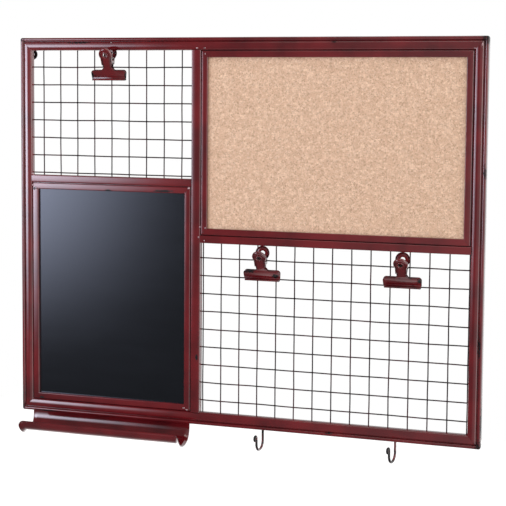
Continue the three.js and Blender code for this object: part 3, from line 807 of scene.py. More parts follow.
def red_paint(nodes, colours, wear, chips, chip_scale=60.0, spots=()):
    """Glossy red enamel with darker clouds, worn and chipped down to a dark primer. The primer is
    also painted shade in creases and grooves and on the top clip's rolled lip.
    """
    grain = nodes.group("Fine grain", {"Scale": 420.0, "Slow share": 0.72})
    # The edge mask brings the primer as wear on outer edges and as painted shade in creases and
    # grooves
    edge = nodes.group("Edge wear", {"Reach": colours.wear_and_shade_reach, "Amount": wear})["Mask"]
    scattered = nodes.group("Paint chips", {"Scale": chip_scale, "Cover": chips})["Mask"]
    worn = nodes.maths("MAXIMUM", edge, scattered)
    for centre, size in spots:
        inputs = {"Centre": scaled(centre, MM), "Size": scaled(size, MM), "Before": worn}
        worn = nodes.group("Worn spot", inputs)["Mask"]
    clouds = nodes.spread(grain["Cloud"], 0.36, 0.66)
    red = nodes.mix(clouds, colours.red, colours.deep_red)
    rough = nodes.spread(grain["Cloud"], 0.3, 0.7, 0.1, 0.15)
    height = nodes.maths("SUBTRACT", grain["Height"], nodes.maths("MULTIPLY", worn, 0.5))
    return {
        "Base Color": nodes.mix(worn, red, colours.primer),
        "Roughness": nodes.maths("ADD", rough, nodes.maths("MULTIPLY", worn, 0.3)),
        "Specular IOR Level": 0.25,
        "Coat Weight": nodes.spread(worn, 0.0, 1.0, 1.0, 0.2),
        "Coat Roughness": colours.gloss,
        "Coat IOR": 1.8,
        "Normal": nodes.bump(height, 0.35, 0.25 * MM),
    }


def dark_wire(nodes, colours):
    """Dark wire with reddish stains."""
    grain = nodes.group("Fine grain", {"Scale": 700.0, "Slow share": 0.4})
    stain = nodes.spread(grain["Cloud"], 0.45, 0.7)
    return {
        "Base Color": nodes.mix(stain, colours.wire, colours.rust),
        "Specular IOR Level": 0.25,
        **nodes.textured(grain["Height"], 0.45, 0.7, 0.3, 0.2 * MM),
    }


def dark_steel(nodes, colours):
    """Dark steel, brighter along its edges."""
    grain = nodes.group("Fine grain", {"Scale": 900.0, "Slow share": 0.3})
    edge = nodes.group("Edge wear", {"Reach": 0.4 * MM, "Amount": 0.5})["Mask"]
    tone = nodes.spread(grain["Cloud"], 0.3, 0.7)
    base = nodes.mix(tone, scaled(colours.steel, 0.55), colours.steel)
    return {
        "Base Color": nodes.mix(edge, base, scaled(colours.steel, 3.0)),
        "Metallic": 0.85,
        **nodes.textured(grain["Height"], 0.28, 0.5, 0.25, 0.1 * MM),
    }


def pale_glinting_weld(nodes, colours):
    """Weld drops in a pale pink that stands in for their glints, a painted highlight, with brown in
    between.
    """
    height = nodes.group("Fine grain", {"Scale": 800.0, "Slow share": 0.3})["Height"]
    tone = nodes.spread(height, 0.42, 0.58)
    return {
        "Base Color": nodes.mix(tone, colours.deep_red, colours.weld),
        "Metallic": 0.7,
        **nodes.textured(height, 0.3, 0.5, 0.4, 0.2 * MM),
    }


def matt_chalkboard(nodes, colours):
    """Matt chalkboard with a wiped haze of chalk."""
    place = nodes.place()
    inputs = {"Vector": place, "Rotation": (0.0, 0.6, 0.0), "Scale": (2.5, 1.0, 11.0)}
    strokes = nodes.add("Mapping", inputs).outputs[0]
    wiped = nodes.noise(strokes, 3.0, detail=6.0, roughness=0.6, distortion=0.6)
    specks = nodes.spread(nodes.noise(place, 900.0), 0.68, 0.8, 0.0, 0.03)
    haze = nodes.maths("MULTIPLY", nodes.spread(wiped, 0.3, 0.8), 0.02)
    dust = nodes.maths("ADD", haze, specks)
    grain = nodes.group("Fine grain", {"Scale": 1100.0, "Slow share": 0.15})
    return {
        "Base Color": nodes.mix(dust, colours.slate, colours.chalk),
        "Roughness": nodes.spread(wiped, 0.2, 0.8, 0.14, 0.17),
        "Specular IOR Level": 0.86,
        "Specular Tint": (0.82, 0.88, 1.0),
        "Normal": nodes.bump(grain["Height"], 0.25, 0.12 * MM),
    }


def pressed_cork(nodes, colours):
    """Pressed cork granules of several browns."""
    place = nodes.place()
    jitter = nodes.add("TexNoise", {"Vector": place, "Scale": 420.0}).outputs["Color"]
    shift = nodes.add("VectorMath", {0: jitter, "Scale": 0.0012}, operation="SCALE").outputs[0]
    warped = nodes.vector("ADD", place, shift)[0]
    granules = {"Vector": warped, "Scale": 340.0}
    large = nodes.add("TexVoronoi", granules).outputs["Color"]
    small = nodes.add("TexVoronoi", {**granules, "Scale": 620.0}).outputs["Color"]
    edges = nodes.add("TexVoronoi", granules, feature="DISTANCE_TO_EDGE")
    edge = edges.outputs["Distance"]
    tone = nodes.add("SeparateColor", {"Color": large}).outputs["Red"]
    tint = nodes.add("SeparateColor", {"Color": small}).outputs["Green"]
    cloudy = nodes.noise(place, 90.0, detail=4.0, roughness=0.6)
    light = nodes.mix(nodes.spread(tone, 0.3, 1.0), colours.cork_mid, colours.cork_light)
    dull = nodes.mix(nodes.spread(cloudy, 0.42, 0.75, 0.0, 0.15), light, colours.cork_dark)
    flecks = nodes.maths("MULTIPLY", nodes.spread(tint, 0.7, 0.95), 0.4)
    flecked = nodes.mix(flecks, dull, colours.cork_dark)
    seam = nodes.spread(edge, 0.0, 0.09, 0.3, 0.0)
    relief = nodes.maths("MULTIPLY", tone, 0.6)
    height = nodes.maths("ADD", nodes.spread(edge, 0.0, 0.3), relief)
    return {
        "Base Color": nodes.mix(seam, flecked, colours.cork_dark),
        "Roughness": nodes.spread(tone, 0.0, 1.0, 0.78, 0.95),
        "Specular IOR Level": 0.25,
        "Normal": nodes.bump(height, 0.5, 0.3 * MM),
    }


def brown_hardboard(nodes, colours):
    """Pressed fibre board with streaks of fibres."""
    inputs = {"Vector": nodes.place(), "Scale": (1.0, 1.0, 4.0)}
    fibres = nodes.add("Mapping", inputs).outputs[0]
    strands = nodes.noise(fibres, 160.0, detail=6.0, roughness=0.7, distortion=1.2)
    tone = nodes.spread(strands, 0.3, 0.7)
    return {
        "Base Color": nodes.mix(tone, colours.hardboard, scaled(colours.hardboard, 1.7)),
        **nodes.textured(strands, 0.7, 0.9, 0.4, 0.3 * MM),
    }


FINISHES = {
    "rail paint": partial(red_paint, wear=0.42, chips=0.2, spots=RAIL_SPOTS),
    "inset paint": partial(red_paint, wear=0.27, chips=0.2, spots=INSET_SPOTS),
    # The clips' spots include painted shade along the top clip's rolled lip
    "clip paint": partial(red_paint, wear=0.85, chips=0.6, chip_scale=110.0, spots=CLIP_SPOTS_AND_LIP_SHADE),
    "hook paint": partial(red_paint, wear=0.9, chips=1.12, chip_scale=70.0),
    "tray paint": partial(red_paint, wear=0.6, chips=0.22),
    "dark wire": dark_wire,
    "dark steel": dark_steel,
    "bare weld": pale_glinting_weld,
    "matt chalkboard": matt_chalkboard,
    "pressed cork": pressed_cork,
    "brown hardboard": brown_hardboard,
}


def finish(name):
    """A material by name, made when it is first asked for."""
    if name not in bpy.data.materials:
        nodes = fresh_nodes(bpy.data.materials.new(name))
        look = FINISHES[name](nodes, bpy.context.scene.memo_board.finishes)
        shader = nodes.add("BsdfPrincipled", look)
        nodes.add("OutputMaterial", {"Surface": shader.outputs[0]})
    return bpy.data.materials[name]


class MEMO_OT_finishes(bpy.types.Operator):
    """Make the shared effects that the finishes use"""

    bl_idname = "memo_board.finishes"
    bl_label = "Finishes"

    def execute(self, context):
        edges_and_creases_group()
        chips_group()
        spot_group()
        grain_group()
        return {"FINISHED"}


class MEMO_OT_rails(bpy.types.Operator):
    """Form the outer rails, the post and the cross rails"""

    bl_idname = "memo_board.rails"
    bl_label = "Rails"

    def execute(self, context):
        board = context.scene.memo_board
        rails = board.rails
        left, _, bottom, top = rectangle("frame")
        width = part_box("frame_left_rail")[1].x - left
        section = outer_rail_section(rails, width)
        formed = four_rails("frame", section, "rail paint", rails.corner_radius, rails.waviness)
        cut_away(formed["top"], *clip_notch(board))
        seat = rails.sheet / 2
        low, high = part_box("centre_post")
        upper, lower = top - width, bottom + width
        size, middle = upper - lower + seat, (upper + lower) / 2
        divider("centre_post", rails, high.x - low.x, size, SIDES["left"], low.x, middle)
        for node in ("left_cross_rail", "right_cross_rail"):
            low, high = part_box(node)
            size, middle = high.x - low.x + rails.sheet + seat, (low.x + high.x) / 2
            divider(node, rails, high.z - low.z, size, SIDES["top"], middle, high.z)
        return {"FINISHED"}


INSET_CORNER = 1.0 * MM
INSET_WAVINESS = 0.06 * MM


class MEMO_OT_inset_frames(bpy.types.Operator):
    """Form the inset frames of the chalkboard and the cork board"""

    bl_idname = "memo_board.inset_frames"
    bl_label = "Inset frames"

    def execute(self, context):
        section = inset_section(context.scene.memo_board.insets)
        for prefix in ("chalk", "cork"):
            four_rails(prefix, section, "inset paint", INSET_CORNER, INSET_WAVINESS)
        return {"FINISHED"}


# Finish and width of the eased edges for the nodes of the frame that stay, by the name's start
DRESSED_NODES = {
    "chalkboard_panel": ("matt chalkboard", 0.3 * MM),
    "cork_sheet": ("pressed cork", 0.3 * MM),
    "cork_backing_board": ("brown hardboard", 0.3 * MM),
    "chalk_tab": ("dark steel", 0.2 * MM),
    "cork_tab": ("dark steel", 0.2 * MM),
    "hanger_eye": ("dark steel", 0.3 * MM),
}
WELD_REACH = 0.002 * MM


class MEMO_OT_panels(bpy.types.Operator):
    """Finish the chalkboard, the cork sheet, the backing board, the tabs and the hanger eyes"""

    bl_idname = "memo_board.panels"
    bl_label = "Panels"

    def execute(self, context):
        for start, (finish_name, edge) in DRESSED_NODES.items():
            for node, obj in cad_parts.items():
                if node.startswith(start):
                    obj.data.materials.clear()
                    obj.data.materials.append(finish(finish_name))
                    weld = obj.modifiers.new("weld", "WELD")
                    weld.merge_threshold = WELD_REACH
                    ease_edges(obj, edge, *PANEL_EASING)
        return {"FINISHED"}


# Wire meshes

# First upright wire from the left, first level wire from the top, and the pattern's seed
WIRE_PLACES = {
    "left_wire_mesh": (14.7 * MM, 24.4 * MM, 3.0),
    "right_wire_mesh": (1.3 * MM, 22.4 * MM, 5.0),
}
WIRE_TUCK = 6 * MM
WIRE_SINK = 0.2 * MM
WIRE_STEP = 7 * MM
WIRE_SIDES = 8
# Slow and quick unevenness: the pattern's scale, and a row of the pattern
WIRE_WAVES = ((17.0, 0.0), (55.0, 3.0))
UPRIGHT_SEED = 40
LEVEL_STEP, UPRIGHT_STEP = 3.1, 1.7
NUGGET_DEPTH = 0.7


def wire_stray(along, seed, sway):
    """How far a wire lies off its straight line."""
    slow, quick = waves(along, seed, WIRE_WAVES)
    return sway * (1.3 * slow + 0.35 * quick)


def stepped(start, end, pitch):
    """Places from a start towards an end, one pitch apart."""
    places = []
    while (start < end) == (pitch > 0):
        places.append(start)
        start += pitch
    return places


def wire_mesh(node, wires, wall_depth):
    """Level wires in front, upright wires behind, and a weld nugget at each crossing."""
    first_across, first_down, seed = WIRE_PLACES[node]
    low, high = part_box(node)
    left, right = low.x + WIRE_TUCK, high.x - WIRE_TUCK
    bottom, top = low.z + WIRE_TUCK, high.z - WIRE_TUCK
    radius = wires.diameter / 2
    front = wall_depth + FIT_GAP + radius - FRAME_DEPTH
    back = front + wires.diameter - WIRE_SINK
    uprights = stepped(left + first_across, right, wires.pitch_across)
    levels = stepped(top - first_down, bottom, -wires.pitch_down)

    def on_level(i, x):
        return Vector((x, front, levels[i] + wire_stray(x, seed + i, wires.sway)))

    def on_upright(j, z):
        stray = wire_stray(z, UPRIGHT_SEED + seed + j, wires.sway)
        return Vector((uprights[j] + stray, back, z))

    parts = []
    for i in range(len(levels)):
        across = evenly(low.x, high.x, int((right - left) / WIRE_STEP))
        points = [on_level(i, x) for x in across]
        parts.append(tube(points, radius, WIRE_SIDES, domed=False))
    for j in range(len(uprights)):
        down = evenly(low.z, high.z, int((top - bottom) / WIRE_STEP))
        points = [on_upright(j, z) for z in down]
        parts.append(tube(points, radius, WIRE_SIDES, domed=False))
    size = (wires.nugget, wires.diameter * NUGGET_DEPTH, wires.nugget)
    for i, z in enumerate(levels):
        for j, x in enumerate(uprights):
            centre = (on_upright(j, z).x, (front + back) / 2, on_level(i, x).z)
            nugget_seed = i * LEVEL_STEP + j * UPRIGHT_STEP
            parts.append(blob(centre, size, nugget_seed, NUGGET_SWELL))
    return merged(*parts)


class MEMO_OT_wire_meshes(bpy.types.Operator):
    """Weave the two welded wire meshes"""

    bl_idname = "memo_board.wire_meshes"
    bl_label = "Wire meshes"

    def execute(self, context):
        board = context.scene.memo_board
        for node in WIRE_PLACES:
            part = wire_mesh(node, board.wires, board.rails.wall_depth)
            name = f"{node}_wires"
            piece(name, part, "dark wire", nodes=[node], crease=FINE_CREASE)
        return {"FINISHED"}


# Clips: built round the pin, x along the pin, jaws down

CLIP_LEANS = {
    "clip_1": math.radians(7.5), "clip_2": math.radians(13.5), "clip_3": math.radians(15.5),
}
NOSE_STEPS, CORNER_STEPS, LIP_STEPS, BEND_STEPS = 5, 7, 16, 4
PAD_STEPS, EYE_STEPS, RIM_STEPS, BOSS_STEPS, HOLE_STEPS = 36, 32, 8, 16, 20
PIN_STEPS, COIL_STEPS, SPRING_SIDES = 24, 22, 10
# Half length of the rows in half bar widths, and the neck's start in fillets above the bar
ROW_REACH, NECK_START = 1.2, 1.35
# Points over which the turned edge grows at its two ends
EDGE_GROWTH = 2.0
BAR_NOSE, BAR_TAPER = 1.6 * MM, 1.8 * MM
SHEET_EDGE = 0.18 * MM
PIN_HEAD = 1.0 * MM
PIN_TIP = 0.02 * MM


class JawShape:
    """Heights and radii of a jaw, worked out from the clip's settings."""

    def __init__(self, clips):
        splay = clips.splay
        self.reach = (clips.pin_to_plate * math.cos(splay) - FIT_GAP / 2) / math.sin(splay)
        self.bar_top = -self.reach - clips.lip_radius + clips.bar_height
        self.pad_height = -self.reach - clips.lip_radius + clips.eye_height
        self.pad_radius = clips.neck_width / 2 + clips.pad_overhang
        self.back_neck = clips.neck_width - 2 * (clips.sheet + clips.ear_clearance)


def filled(outline, hole, rows=()):
    """A flat skin between an outline and a hole, with level rows of vertices where it bends."""
    points, edges = [], []
    for loop in (outline, hole):
        base = len(points)
        points += loop
        edges += [(base + i, base + (i + 1) % len(loop)) for i in range(len(loop))]
    wide = max(p.x for p in outline) * ROW_REACH
    for z in rows:
        edges.append((len(points), len(points) + 1))
        points += [Vector((-wide, z)), Vector((wide, z))]
    verts, _, faces, _, _, _ = delaunay_2d_cdt(points, edges, [], 0, 1e-7)
    kept = []
    for face in faces:
        middle = sum((verts[i] for i in face), Vector((0, 0))) / len(face)
        if inside(middle, outline) and not inside(middle, hole):
            kept.append(face)
    used = sorted({i for face in kept for i in face})
    place = {old: new for new, old in enumerate(used)}
    return [verts[i] for i in used], [tuple(place[i] for i in face) for face in kept]


def inside(p, loop):
    within = False
    for i, a in enumerate(loop):
        b = loop[i - 1]
        if (a.y > p.y) != (b.y > p.y):
            within ^= p.x < (b.x - a.x) * (p.y - a.y) / (b.y - a.y) + a.x
    return within


def thickened(part, thickness):
    """Gives a skin the thickness of sheet, on the side away from its normals."""
    skin = new_mesh("skin", part)
    obj = linked("sheet", skin)
    solidify = obj.modifiers.new("sheet", "SOLIDIFY")
    solidify.thickness = thickness
    solidify.offset = -1.0
    solidify.use_even_offset = True
    soften(obj, SHEET_EDGE)
    made = obj.data
    verts = [v.co.copy() for v in made.vertices]
    faces = [tuple(p.vertices) for p in made.polygons]
    bpy.data.objects.remove(obj)
    for mesh in (made, skin):
        bpy.data.meshes.remove(mesh)
    return verts, faces


def mirrored(points):
    return [Vector((-p.x, p.y)) for p in reversed(points)]


def jaw_skin(clips, shape, neck_width):
    """The inner face of a jaw: plate, rolled gripping edge, and edge turned in at the neck."""
    face = -clips.pin_to_plate
    half_bar, half_neck = clips.bar_width / 2, neck_width / 2
    inset = clips.sheet + clips.bend_radius
    roll = clips.lip_angle * clips.lip_radius
    nose = (BAR_TAPER + BAR_NOSE - half_bar, -shape.reach - roll + BAR_NOSE)
    corner = (clips.bar_corner - half_bar, shape.bar_top - clips.bar_corner)
    fillet = (-half_neck - clips.fillet, shape.bar_top + clips.fillet)
    left = line_of(
        arc(nose, BAR_NOSE, 270, 190, NOSE_STEPS),
        (-half_bar, -shape.reach + MM),
        arc(corner, clips.bar_corner, 180, 90, CORNER_STEPS),
        arc(fillet, clips.fillet, 270, 345, CORNER_STEPS),
    )
    pad_centre, pad_radius = (0, shape.pad_height), shape.pad_radius - inset
    start = math.degrees(math.asin((half_neck - inset) / pad_radius))
    neck = [Vector((inset - half_neck, shape.bar_top + clips.fillet * NECK_START))]
    pad = arc(pad_centre, pad_radius, 270 - start, start - 90, PAD_STEPS)
    flange = neck + pad + mirrored(neck)
    eye = circle(pad_centre, clips.eye_radius, EYE_STEPS)
    rows = [-shape.reach - roll * k / LIP_STEPS for k in range(LIP_STEPS)]
    flat, faces = filled(line_of(left, flange, mirrored(left)), eye, rows)
    verts = [rolled(p, face, shape.reach, clips.lip_radius) for p in flat]
    return merged((verts, faces), turned_edge(clips, flange, face))


def rolled(p, face, reach, radius):
    """Where a point of the flat sheet goes when the gripping edge is rolled outwards."""
    past = -reach - p.y
    if past <= 0:
        return Vector((p.x, face, p.y))
    angle = past / radius
    deep, up = face - radius + radius * math.cos(angle), -reach - radius * math.sin(angle)
    return Vector((p.x, deep, up))


def turned_edge(clips, flange, face):
    """The strip that bends from the plate's edge towards the pin."""
    bend, depth = clips.bend_radius, clips.turned_edge
    last = len(flange) - 1
    rings = []
    for i, p in enumerate(flange):
        out = left_of((flange[min(i + 1, last)] - flange[max(i - 1, 0)]).normalized())
        grown = min(min(i, last - i) / EDGE_GROWTH, 1.0)
        ring = []
        for k in range(BEND_STEPS + 1):
            angle = math.pi / 2 * k / BEND_STEPS * grown
            place = p + out * bend * math.sin(angle)
            ring.append(Vector((place.x, face + bend * (1 - math.cos(angle)), place.y)))
        place = p + out * bend * math.sin(math.pi / 2 * grown)
        deep = face + bend + (depth - bend) * grown - bend * (1 - grown)
        ring.append(Vector((place.x, deep, place.y)))
        rings.append(ring)
    return bridge(rings, closed=False, caps=False)


def ear(clips, x):
    """A side ear that carries the pin, with its hole."""
    face = -clips.pin_to_plate - clips.sheet / 2
    outline = line_of(
        (face, -clips.ear_half_height),
        arc((0, 0), clips.boss_radius, -90, 90, BOSS_STEPS),
        (face, clips.ear_half_height),
    )
    flat, faces = filled(outline, circle((0, 0), clips.pin_radius + FIT_GAP, HOLE_STEPS))
    skin = [Vector((x + clips.sheet / 2, p.x, p.y)) for p in flat], faces
    return thickened(skin, clips.sheet)


def eye_rim(clips, shape):
    """The raised rim round the hole in the pad."""
    inner, outer = clips.eye_radius, clips.eye_radius + clips.rim_width
    level = -clips.pin_to_plate - clips.sheet
    sunk = level + clips.sheet / 2
    dome = arc(((inner + outer) / 2, 0), clips.rim_width / 2, 0, 180, RIM_STEPS)
    squeeze = clips.rim_height / (clips.rim_width / 2)
    profile = [(p.x, level - p.y * squeeze) for p in dome] + [(inner, sunk), (outer, sunk)]
    return moved(lathe(profile, EYE_STEPS, "Y"), Matrix.Translation((0, 0, shape.pad_height)))


def jaw(clips, shape, neck_width):
    middle = (neck_width - clips.sheet) / 2
    plate = thickened(jaw_skin(clips, shape, neck_width), clips.sheet)
    return merged(plate, eye_rim(clips, shape), ear(clips, -middle), ear(clips, middle))


def pivot_pin(clips):
    """A pin with a domed head at each end."""
    end = clips.neck_width / 2 + FIT_GAP
    half = [(clips.pin_radius, end)]
    for angle in range(0, 90, 15):
        radius = clips.head_radius * math.sin(math.radians(90 - angle))
        half.append((radius, end + PIN_HEAD * math.sin(math.radians(angle))))
    half.append((PIN_TIP, end + PIN_HEAD))
    return lathe([(r, -a) for r, a in reversed(half)] + half, PIN_STEPS)


def spring_line(clips):
    """Middle line of the torsion spring: a leg in, the coils, a leg out."""
    turn_in = math.pi + clips.splay - clips.leg_lift
    turn_out = math.pi - turn_in
    reach = clips.pin_to_plate - FIT_GAP
    elbow = reach - clips.spring_wire
    lead = math.acos(clips.spring_radius / elbow)
    sweep = turn_in - turn_out - 2 * lead + 2 * math.pi * clips.spring_turns
    steps = int(sweep / (2 * math.pi) * COIL_STEPS)
    size = clips.spring_pitch * sweep / (2 * math.pi)

    def at(radius, angle, x):
        return Vector((x, radius * math.cos(angle), radius * math.sin(angle)))

    points = [at(reach, turn_in, -size / 2), at(elbow, turn_in, -size / 2)]
    for i in range(steps + 1):
        t = i / steps
        points.append(at(clips.spring_radius, turn_in - lead - sweep * t, size * (t - 0.5)))
    return points + [at(elbow, turn_out, size / 2), at(reach, turn_out, size / 2)]


def clip_notch(board):
    """The box that is cut from the top rail's inner wall for the top clip's pad."""
    clips = board.clips
    shape = JawShape(clips)
    pin_low, pin_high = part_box("clip_1_pivot_pin")
    pin = (pin_low + pin_high) / 2
    tilt = CLIP_LEANS["clip_1"] - clips.splay
    bay_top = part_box("frame_top_rail")[0].z
    drop = bay_top - pin.z
    pad_back = (clips.pin_to_plate - clips.turned_edge) / math.cos(tilt)
    front = pin.y + pad_back - drop * math.tan(tilt) - FIT_GAP
    centre_drop = drop - shape.pad_height * math.cos(tilt)
    half_chord = math.sqrt(max(shape.pad_radius ** 2 - centre_drop ** 2, 0.0)) + 2 * FIT_GAP
    low = Vector((pin.x - half_chord, front, bay_top - MM))
    high = Vector((pin.x + half_chord, 0.0, bay_top + board.rails.sheet + FIT_GAP))
    return low, high


class MEMO_OT_clips(bpy.types.Operator):
    """Press the jaws, turn the pins and wind the springs of the three clips"""

    bl_idname = "memo_board.clips"
    bl_label = "Clips"

    def execute(self, context):
        clips = context.scene.memo_board.clips
        shape = JawShape(clips)
        leaning = Matrix.Rotation(clips.splay, 4, "X")
        turned = Matrix.Rotation(-clips.splay, 4, "X") @ Matrix.Rotation(math.pi, 4, "Z")
        parts = {
            "front_jaw": moved(jaw(clips, shape, clips.neck_width), leaning),
            "back_jaw": moved(jaw(clips, shape, shape.back_neck), turned),
            "pivot_pin": pivot_pin(clips),
            "torsion_spring": tube(spring_line(clips), clips.spring_wire / 2, SPRING_SIDES),
        }
        for name, lean in CLIP_LEANS.items():
            low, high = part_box(f"{name}_pivot_pin")
            place = Matrix.Translation((low + high) / 2) @ Matrix.Rotation(lean, 4, "X")
            for part_name, part in parts.items():
                node = f"{name}_{part_name}"
                body = f"{name}_front" if part_name == "front_jaw" else BOARD
                painted = part_name.endswith("jaw")
                finish_name = "clip paint" if painted else "dark steel"
                part = moved(part, place)
                piece(f"{node}_formed", part, finish_name, nodes=[node], body=body)
        return {"FINISHED"}


# Chalk tray

TRAY_BACK = -4 * MM
TRAY_FULLNESS = 2.7
TRAY_DENT = 0.18 * MM
DENTS_ALONG, DENTS_ROUND = 23.0, 1.4
TRAY_AROUND, TRAY_END_STEPS, TRAY_STEPS = 44, 10, 26
TRAY_EDGE = 0.25 * MM


def tray_ring(tray, x, from_end):
    """The tray's section at x, belled out and cut back at the lip near its ends."""
    centre_y = TRAY_BACK - tray.radius
    centre_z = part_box("frame_bottom_rail")[0].z - FIT_GAP
    flare = tray.flare * (1 - min(from_end / tray.flare_length, 1)) ** 2
    left = max(tray.corner - from_end, 0.0)
    cut = tray.corner - math.sqrt(max(tray.corner ** 2 - left ** 2, 0.0))
    sweep = math.pi - tray.lip_drop - cut / tray.radius
    surfaces = []
    for thickness in (0.0, tray.sheet):
        row = []
        for i in range(TRAY_AROUND + 1):
            angle = sweep * i / TRAY_AROUND
            c, s = math.cos(angle), math.sin(angle)
            slope = math.sin(min(angle, math.pi / 2)) ** 2
            dent = TRAY_DENT * noise.noise(Vector((x * DENTS_ALONG, angle * DENTS_ROUND, 0.0)))
            radius = tray.radius + flare * slope + thickness + dent * s
            if angle < math.pi / 2:
                radius *= (c ** TRAY_FULLNESS + s ** TRAY_FULLNESS) ** (-1 / TRAY_FULLNESS)
            row.append(Vector((x, centre_y + radius * c, centre_z - radius * s)))
        surfaces.append(row)
    return surfaces[0] + surfaces[1][::-1]


class MEMO_OT_chalk_tray(bpy.types.Operator):
    """Roll the half-round chalk tray with its belled ends"""

    bl_idname = "memo_board.chalk_tray"
    bl_label = "Chalk tray"

    def execute(self, context):
        tray = context.scene.memo_board.tray
        low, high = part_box("chalk_tray")
        start, end = low.x, high.x
        reach = max(tray.flare_length, tray.corner)
        near = evenly(0, reach, TRAY_END_STEPS)
        inner = end - start - 2 * reach
        rings = [tray_ring(tray, start + d, d) for d in near]
        for k in range(1, TRAY_STEPS):
            rings.append(tray_ring(tray, start + reach + inner * k / TRAY_STEPS, reach))
        rings += [tray_ring(tray, end - d, d) for d in reversed(near)]
        nodes = ["chalk_tray"]
        piece("chalk_tray_rolled", bridge(rings), "tray paint", nodes, edge=TRAY_EDGE)
        return {"FINISHED"}


# Hooks

HOOK_TURNS = {"hook_1": math.radians(9), "hook_2": math.radians(13)}
HOOK_ROOT_DEPTH = 8 * MM
LEG_STEPS, HOOK_BEND_STEPS, CURL_STEPS, HOOK_SIDES = 6, 30, 26, 16


def hook_root(name, hooks):
    """Where a hook's leg leaves the bottom rail, from the box of its node."""
    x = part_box(name)[1].x - hooks.wire / 2
    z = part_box("frame_bottom_rail")[0].z - FIT_GAP
    return Vector((x, HOOK_ROOT_DEPTH - FRAME_DEPTH, z))


class MEMO_OT_hooks(bpy.types.Operator):
    """Bend the two wire hooks under the bottom rail"""

    bl_idname = "memo_board.hooks"
    bl_label = "Hooks"

    def execute(self, context):
        hooks = context.scene.memo_board.hooks
        bend, curl = hooks.bend_radius, hooks.curl_radius
        tip, end = FIT_GAP - hooks.tip_drop, 180 - math.degrees(hooks.curl_angle)
        line = line_of(
            (0, FIT_GAP),
            [Vector((0, -hooks.leg * k / LEG_STEPS)) for k in range(1, LEG_STEPS)],
            arc((bend, -hooks.leg), bend, 180, 360, HOOK_BEND_STEPS),
            arc((2 * bend + curl, tip), curl, 180, end, CURL_STEPS),
        )
        hook = tube([Vector((0, -p.x, p.y)) for p in line], hooks.wire / 2, HOOK_SIDES)
        for name, turn_z in HOOK_TURNS.items():
            place = Matrix.Translation(hook_root(name, hooks)) @ Matrix.Rotation(-turn_z, 4, "Z")
            part = moved(hook, place)
            piece(f"{name}_bent", part, "hook paint", [name], crease=FINE_CREASE)
        return {"FINISHED"}


# Weld drops: place and half size in millimetres
WELD_DROPS = (
    ((-65.7, -14.3, -12.4), (2.0, 1.2, 1.4)), ((-54.6, -14.3, -12.2), (1.8, 1.2, 1.4)),
    ((-53.4, -14.8, -20.6), (1.2, 1.2, 2.0)), ((-77.3, -15.2, -212.4), (2.0, 1.3, 2.0)),
    ((-83.8, -15.2, -532.6), (2.0, 1.1, 1.2)), ((-79.2, -15.2, -534.8), (1.8, 1.1, 1.2)),
    ((-62.0, -15.2, -282.0), (1.6, 1.2, 1.6)), ((-53.5, -15.2, -286.5), (1.4, 1.2, 1.4)),
    ((-52.3, -15.2, -268.6), (1.3, 1.1, 1.3)), ((-60.0, -15.2, -267.5), (1.5, 1.1, 1.5)),
    ((334.0, -14.7, -9.0), (1.2, 1.0, 3.0)), ((324.3, -13.9, -13.5), (1.8, 1.0, 1.0)),
    ((-197.0, -15.4, -4.6), (1.3, 1.0, 1.3)), ((330.0, -14.3, -12.0), (1.2, 0.9, 1.2)),
    ((-324.5, -12.8, -198.5), (1.6, 1.4, 2.4)), ((-322.5, -15.3, -214.5), (2.2, 0.9, 1.7)),
    ((-316.0, -15.3, -219.3), (2.4, 0.9, 1.1)), ((326.2, -12.4, -283.5), (1.5, 1.4, 2.4)),
    ((-60.2, -12.4, -283.8), (1.4, 1.3, 2.2)),
    ((-300, -4.2, -556.6), (7, 1.5, 1.6)), ((-200, -4.2, -556.6), (7, 1.5, 1.6)),
    ((-100, -4.2, -556.6), (7, 1.5, 1.6)), ((-76.4, -5.4, -556.6), (3, 2.2, 1.5)),
)
HOOK_DROP = (2.4, 2.4, 1.0)
HOOK_DROP_RISE = 0.4
DROP_STEP = 2.3
DROP_CREASE = 80.0


class MEMO_OT_welds(bpy.types.Operator):
    """Set weld drops where post, rails, tray and hooks are joined"""

    bl_idname = "memo_board.welds"
    bl_label = "Welds"

    def execute(self, context):
        drops = [*WELD_DROPS]
        for name in HOOK_TURNS:
            x, y, z = hook_root(name, context.scene.memo_board.hooks) / MM
            drops.append(((x, y, z + HOOK_DROP_RISE), HOOK_DROP))
        parts = []
        for i, (centre, size) in enumerate(drops):
            seed = i * DROP_STEP
            parts.append(blob(scaled(centre, MM), scaled(size, MM), seed, DROP_SWELL))
        piece("weld_drops", merged(*parts), "bare weld", crease=DROP_CREASE)
        return {"FINISHED"}


# Stage

WHITE = (1.0, 1.0, 1.0)
WARM, COOL = (1.06, 1.0, 0.92), (0.92, 0.95, 1.12)
LAMP_AIM = (0.0, 0.0, -0.28)
# Place, size, tint, and the share of the half size over which a lamp fades to its edges
LAMPS = {
    "key": ((-1.57, -1.88, -0.19), (1.66, 1.6), COOL, 0.95),
    "top": ((0.1, -0.9, 1.5), (1.6, 0.7), WARM, 0.4),
    "fill": ((1.9, -1.3, 0.2), (0.8, 1.4), WARM, 0.4),
}
# What gloss mirrors of the room: an axis, the range along it, and the brightness at both ends
MIRRORED_ROOM = (
    ("X", -0.3, 0.0, 0.1, 0.36), ("Z", 0.3, 0.9, 0.0, 0.1),
    ("Z", -0.72, -0.9, 0.0, 1.2), ("X", 0.2, 0.55, 0.0, 1.3),
)
FLOOR_LEVEL = -1.4
FLOOR_SIDE, FLOOR_FRONT, FLOOR_BACK = 3.0, -0.6, 3.0
FLOOR_GREY = (0.6, 0.6, 0.6)
FLOOR_GLOW, FLOOR_DARK = 0.72, 0.06
FLOOR_FADE = (0.05, 0.8)
CAMERA_PLACE = (0.5083, -1.6655, -0.0721)
CAMERA_YAW, CAMERA_PITCH, CAMERA_ROLL = 16.525, 4.274, 0.445
CAMERA_SHIFT = -0.14


